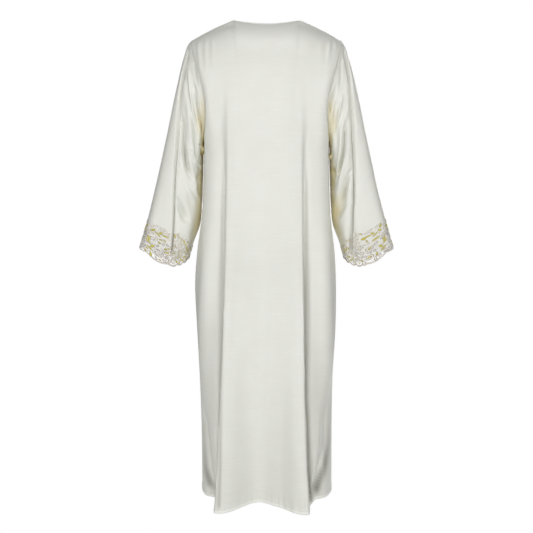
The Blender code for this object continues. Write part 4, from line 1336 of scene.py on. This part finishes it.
def embroidery(girth, chance, scroll_width):
    """White and golden embroidery of one cuff, as patches on its unrolled band."""
    made = {"white": [], "gold": [], "taupe": [], "pale": [], "olive": []}
    taken = []

    def leaf(kind, spot, turn, length, width, point):
        # The outline is partly painted shade round the raised leaf, and turns pale higher up
        outline = "olive" if kind == "gold" else ("taupe" if spot[1] < OUTLINE_TOP else "pale")
        wider = (length + 2 * OUTLINE, width + 2 * OUTLINE)
        made[outline].append(leaf_patch(spot, turn, *wider, OUTLINE_RISE, point))
        made[kind].append(leaf_patch(spot, turn, length, width, LEAF_RISE, point))

    def stroke(path, width):
        # The outline is partly painted shade round the raised stroke, and turns pale higher up
        outline = "taupe" if path[:, 1].mean() < OUTLINE_TOP else "pale"
        made[outline].append(stroke_patch(path, width + 2 * OUTLINE, OUTLINE_RISE))
        made["white"].append(stroke_patch(path, width, STROKE_RISE))

    def flower(spot, size, start):
        for petal in range(PETALS):
            turn = start + petal * 2 * math.pi / PETALS
            out = size * 0.3
            middle = (spot[0] + out * math.cos(turn), spot[1] + out * math.sin(turn))
            leaf("white", middle, turn, size * 0.42, size * 0.30, 0.8)
        leaf("gold", spot, 0.0, size * 0.3, size * 0.3, 1.0)

    def free(x, y, size):
        for other_x, other_y, other_size in taken:
            away = abs(x - other_x)
            away = min(away, girth - away)
            if math.hypot(away, y - other_y) < (size + other_size) / 2:
                return False
        return True

    for spray in SPRAYS:
        spot = (spray.angle / 360.0 * girth, spray.height)
        if spray.width > 0.8 * spray.length:
            flower(spot, spray.length, chance.uniform(0, 1))
            taken.append((*spot, spray.length))
            continue
        lean = math.radians(spray.lean)
        for step, opening, share in SPRAY_LEAVES:
            aside = 0.20 * opening
            middle = (
                spot[0] + spray.length * (step * math.cos(lean) - aside * math.sin(lean)),
                spot[1] + spray.length * (step * math.sin(lean) + aside * math.cos(lean)),
            )
            size = spray.length * share
            leaf("gold", middle, lean + opening, size, size * 0.30, 1.3)
        taken.append((*spot, spray.length))
    for attempt in range(FILL_TRIES):
        x = chance.uniform(0.0, girth)
        top = float(lace_height(np.array(x / girth * 360.0)))
        height = chance.uniform(0.0, 1.0) ** FILL_CROWDING * (top - FILL_MARGIN) + FILL_MARGIN
        size = FILL_SIZES[min(attempt // TRIES_PER_SIZE, 3)]
        room = size * FILL_ROOM
        if height + size * FILL_TOP_ROOM > top or not free(x, height, room):
            continue
        taken.append((x, height, room))
        kind = chance.random()
        turn = chance.uniform(0, 2 * math.pi)
        golden = chance.random() < GOLD_SHARE
        thread = "gold" if golden else "white"
        if kind < SCROLL_SHARE and size > SCROLL_LEAST:
            path = scroll_path((x, height), size, turn, chance.choice((-1, 1)))
            stroke(path, scroll_width * size / SCROLL_FULL)
            if golden:
                leaf("gold", (x, height), turn, size * 0.5, size * 0.26, 1.2)
        elif kind < SCROLL_SHARE + LEAF_SHARE:
            leaf(thread, (x, height), turn, size, size * 0.32, 1.3)
        else:
            leaf(thread, (x, height), 0.0, size * 0.5, size * 0.5, 1.0)
    return made


def on_cuff(side_name, girth, patches):
    """The patches laid on the cuff's curved net."""
    flat = np.concatenate([grid.reshape(-1, 3) for grid, _, _ in patches])
    lift = flat[:, 2] + STITCH_GAP
    points = lace_points(side_name, flat[:, 0] / girth * 360.0, flat[:, 1], lift)
    laid = []
    start = 0
    for grid, width, length in patches:
        end = start + grid.shape[0] * grid.shape[1]
        laid.append((points[start:end].reshape(grid.shape), width, length))
        start = end
    return laid


# The first cuff's seed, steps of the corded edge in each scallop, and width of a thread's ribs
LACE_SEED = 41
EDGE_STEPS = 40
LACE_RIB = 0.0008


class ABAYA_OT_lace(bpy.types.Operator):
    """Lay the net of both cuffs and embroider it with scrolls, leaves, flowers and a corded edge"""

    bl_idname = "abaya.lace"
    bl_label = "Lace cuffs"

    def execute(self, context):
        net = shared("pale_tulle_net", net_material, colours().net, sizes().net_cell)
        threads = {
            # The taupe, pale and olive outline threads are partly painted shade round the motifs
            "white": (colours().white_thread, "#D9D4C8"),
            "gold": (colours().gold_thread, colours().gold_deep),
            "taupe": (colours().taupe_thread_and_shade, "#655440"),
            "pale": ("#BFB3A3", "#A6998A"),
            "olive": ("#AFA35A", "#857A40"),
        }
        edge = sizes().edge_cord
        for number, name in enumerate(("left", "right")):
            girth = cuff_girth(name)
            angle = np.linspace(0.0, 360.0, LACE_COLUMNS, endpoint=False)
            part = np.linspace(0.0, 1.0, LACE_ROWS + 1)[:, None]
            height = between(lace_height(angle), -scallop_reach(angle), part)
            points = lace_points(name, angle * np.ones_like(part), height)
            quads, places = grid_faces(LACE_ROWS + 1, LACE_COLUMNS, True, 0)
            across, down = np.moveaxis(places, -1, 0)
            uvs = np.stack([across / LACE_COLUMNS * girth, height[down, across % LACE_COLUMNS]], -1)
            band = mesh_from(f"lace_cuff_{name}_net", points, quads, uvs, [net])
            settle(band, "lace_cuff_" + name)
            made = embroidery(girth, random.Random(LACE_SEED + number), sizes().scroll_width)
            steps = np.linspace(0.0, 360.0, SCALLOPS * EDGE_STEPS + 1)
            # The corded edge: thread, height over the scallops, width and rise. Its taupe cords on
            # either side are partly painted shade
            cords = (
                ("white", edge / 2, edge, 0.0011),
                ("taupe", 0.0004, 0.0011, 0.0012),
                ("taupe", edge + 0.0003, 0.0010, 0.0012),
            )
            for thread, over, width, rise in cords:
                rim = np.stack([steps / 360.0 * girth, over - scallop_reach(steps)], axis=1)
                made[thread].append(stroke_patch(rim, width, rise))
            extras = []
            for label, patches in made.items():
                thread_name = label + "_rayon_embroidery"
                finish = shared(thread_name, thread_material, *threads[label], LACE_RIB)
                laid = on_cuff(name, girth, patches)
                extras.append(patches_piece(f"lace_cuff_{name}_{label}", laid, finish))
                settle(extras[-1], None)
        return {"FINISHED"}


# The neck binding: its section's height, thickness, sides and distance above the cloth's edge
BINDING_HEIGHT = 0.0060
BINDING_WALL = 0.0024
BINDING_SIDES = 14
BINDING_LIFT = 0.0002

# Distance from the cloth or the net to the thread laid on it
STITCH_GAP = 0.0001


class ABAYA_OT_binding(bpy.types.Operator):
    """Fold the narrow binding over the neck's edge"""

    bl_idname = "abaya.binding"
    bl_label = "Neck binding"

    def execute(self, context):
        middle, normal, rising = neck_ring()
        count = len(middle)
        # The section is a rounded strip, folded round the cloth's edge
        turns = np.linspace(0.0, 2 * math.pi, BINDING_SIDES + 1)[:-1]
        rows = len(turns)
        sine, cosine = np.sin(turns), np.cos(turns)
        up = BINDING_HEIGHT / 2 * (1 + np.sign(sine) * np.abs(sine) ** 0.7)
        out = BINDING_WALL / 2 * np.sign(cosine) * np.abs(cosine) ** 0.6
        length = arc_from_start(middle)
        pucker = 1 + 0.06 * wave(length, 0.0061) + 0.05 * wave(length, 0.0137)
        grid = middle + rising * (up[:, None, None] + BINDING_LIFT)
        grid = grid + normal * out[:, None, None] * pucker[:, None]
        quads, places = grid_faces(rows + 1, count, True, 0)
        uvs = np.stack([places[..., 1] * 0.001, places[..., 0] * 0.62 / count], axis=-1)
        material = satin("ivory_satin_binding")
        piece = mesh_from("neck_binding_satin", grid, quads % (rows * count), uvs, [material])
        settle(piece, "neck_binding")
        return {"FINISHED"}


def neck_ring():
    """The neck's edge in order round it: points, vectors off the cloth, and vectors along it, up."""
    neck_end = NECK_HALF_WIDTH / SHOULDER_HALF_WIDTH + 1e-6
    columns = np.abs(column_places()) < neck_end
    back, front = (np.stack(panel_points(side))[:, 0, columns] for side in (-1, 1))
    ring = np.concatenate([back[:, :-1], front[:, :0:-1]], axis=1)
    ring[:, 0] = (back[:, 0] + front[:, 0]) / 2
    ring[:, back.shape[1] - 1] = (back[:, -1] + front[:, -1]) / 2
    points, normals = ring
    for _ in range(3):
        normals = (np.roll(normals, 1, 0) + 2 * normals + np.roll(normals, -1, 0)) / 4
    normals = unit(normals)
    ahead = np.roll(points, -1, axis=0) - np.roll(points, 1, axis=0)
    rising = unit(np.cross(normals, ahead))
    rising = np.where(rising[:, 2:] < 0, -rising, rising)
    return points - normals * SATIN_SHELL / 2, normals, rising


def stitch_patches(line, normals, pitch, width):
    """Small raised stitches along a line on the cloth."""
    run = arc_from_start(line)
    made = []
    length = pitch * 0.72
    taper = np.array([0.35, 1.0, 1.0, 0.35])[:, None, None] * width / 2
    cross = np.array([-1.0, -0.5, 0.5, 1.0])[None, :, None]
    lift = np.array([0.0, 0.8, 0.8, 0.0])[None, :, None]
    for start in np.arange(0.0, run[-1] - pitch, pitch):
        spots = start + length * np.linspace(0.0, 1.0, 4)
        centre, facing = (
            np.stack([np.interp(spots, run, values) for values in vectors.T], axis=1)
            for vectors in (line, normals)
        )
        facing = unit(facing)
        beside = np.cross(facing, unit(centre[-1] - centre[0]))
        grid = centre[:, None] + (beside[:, None] * cross + facing[:, None] * lift) * taper
        made.append((grid, width, length))
    return made


class ABAYA_OT_sewing(bpy.types.Operator):
    """Sew the rows of stitches above the hem"""

    bl_idname = "abaya.sewing"
    bl_label = "Hem stitches"

    def execute(self, context):
        colour_pair = ("#EFEDE4", "#CFCCBE")
        thread = shared("ivory_polyester_sewing_thread", thread_material, *colour_pair, 0.0004)
        for name, side in (("back", -1), ("front", 1)):
            points, normals = (grid[-1 - HEM_ROWS] for grid in panel_points(side))
            line = points + normals * STITCH_GAP
            pitch, width = sizes().stitch_pitch, sizes().stitch_width
            patches = stitch_patches(line, normals, pitch, width)
            settle(patches_piece(name + "_hem_stitches", patches, thread), None)
        return {"FINISHED"}


# The camera of the photograph: level, a little over mid height, 59 mm on a 36 mm frame
CAMERA_DISTANCE = 2.634
CAMERA_HEIGHT = -0.735
CAMERA_LENS = 59.3
CAMERA_FRAME = 36.0
FLOOR_HEIGHT = -1.50
FLOOR_RADIUS = 80.0

# The studio's glow beside the white that the camera sees, and softboxes with power in watts
GLOW_STRENGTH = 0.15
LIGHTS = table(
    "name place aim width height power",
    ("key_softbox", (-0.1, -3.8, -0.75), (0.0, 0.0, -0.75), 1.3, 3.2, 42.0),
    ("left_softbox", (-2.3, -3.0, -0.4), (0.0, 0.0, -0.7), 1.0, 2.4, 35.0),
    ("right_softbox", (2.3, -3.0, -0.4), (0.0, 0.0, -0.7), 1.0, 2.4, 35.0),
    ("top_softbox", (0.1, -1.5, 2.0), (0.0, 0.0, -0.2), 1.4, 0.8, 16.0),
    ("back_softbox", (0.8, 3.6, 0.7), (0.0, 0.0, -0.7), 2.4, 2.4, 120.0),
)


def add_light(scene, row):
    """Adds one softbox that faces its aim."""
    data = bpy.data.lights.new(row.name, "AREA")
    data.shape = "RECTANGLE"
    data.size = row.width
    data.size_y = row.height
    data.energy = row.power
    light = bpy.data.objects.new(row.name, data)
    light.location = row.place
    x, y, z = np.array(row.aim) - np.array(row.place)
    light.rotation_euler = (math.pi / 2 + math.atan2(z, math.hypot(x, y)), 0.0, -math.atan2(x, y))
    scene.collection.objects.link(light)


class ABAYA_OT_stage(bpy.types.Operator):
    """Set up the pale floor, the soft light and the camera"""

    bl_idname = "abaya.stage"
    bl_label = "Studio"

    def execute(self, context):
        scene = context.scene
        mesh = bpy.data.meshes.new("studio_floor")
        shape = bmesh.new()
        bmesh.ops.create_circle(shape, cap_ends=True, segments=96, radius=FLOOR_RADIUS)
        shape.to_mesh(mesh)
        shape.free()
        floor = bpy.data.objects.new("studio_floor", mesh)
        floor.location = (0.0, 0.0, FLOOR_HEIGHT)
        mesh.materials.append(paper_material("matt_studio_paper", colours().floor))
        scene.collection.objects.link(floor)

        scene.world = bpy.data.worlds.new("white_studio")
        tree = new_tree(scene.world)
        seen = add_node(tree, "ShaderNodeLightPath").outputs["Is Camera Ray"]
        glow, wall = (
            add_node(tree, "ShaderNodeBackground", {"Color": "#FFFFFF", "Strength": strength})
            for strength in (GLOW_STRENGTH, 1.0)
        )
        mixed = mixed_shader(tree, seen, glow.outputs["Background"], wall.outputs["Background"])
        add_node(tree, "ShaderNodeOutputWorld", {"Surface": mixed})
        for row in LIGHTS:
            add_light(scene, row)

        data = bpy.data.cameras.new("photograph_camera")
        data.lens = CAMERA_LENS
        data.sensor_width = CAMERA_FRAME
        camera = bpy.data.objects.new("photograph_camera", data)
        camera.location = (0.0, -CAMERA_DISTANCE, CAMERA_HEIGHT)
        camera.rotation_euler = (math.pi / 2, 0.0, 0.0)
        scene.collection.objects.link(camera)
        scene.camera = camera
        scene.view_settings.view_transform = "Standard"
        scene.view_settings.look = "None"
        return {"FINISHED"}


class ABAYA_PT_sidebar(bpy.types.Panel):
    """Lists the garment's pieces, sizes and colours"""

    bl_idname = "ABAYA_PT_sidebar"
    bl_label = "Ivory satin abaya"
    bl_space_type = "VIEW_3D"
    bl_region_type = "UI"
    bl_category = "Abaya"

    def draw(self, context):
        for operator in OPERATORS:
            self.layout.operator(operator.bl_idname)
        for group in (sizes(), colours()):
            box = self.layout.box()
            for name in group.__annotations__:
                box.prop(group, name)


OPERATORS = (
    ABAYA_OT_body,
    ABAYA_OT_sleeves,
    ABAYA_OT_lace,
    ABAYA_OT_binding,
    ABAYA_OT_sewing,
    ABAYA_OT_stage,
)
CLASSES = (AbayaSizes, AbayaColours, *OPERATORS, ABAYA_PT_sidebar)


def register():
    """Registers the classes and their settings."""
    for item in CLASSES:
        bpy.utils.register_class(item)
    bpy.types.Scene.abaya_sizes = bpy.props.PointerProperty(type=AbayaSizes)
    bpy.types.Scene.abaya_colours = bpy.props.PointerProperty(type=AbayaColours)


def unregister():
    """Takes the classes and their settings out again."""
    del bpy.types.Scene.abaya_colours
    del bpy.types.Scene.abaya_sizes
    for item in reversed(CLASSES):
        bpy.utils.unregister_class(item)


def main():
    """Makes every piece and the studio."""
    register()
    bpy.ops.abaya.body()
    bpy.ops.abaya.sleeves()
    bpy.ops.abaya.lace()
    bpy.ops.abaya.binding()
    bpy.ops.abaya.sewing()
    bpy.ops.abaya.stage()


if __name__ == "__main__":
    main()
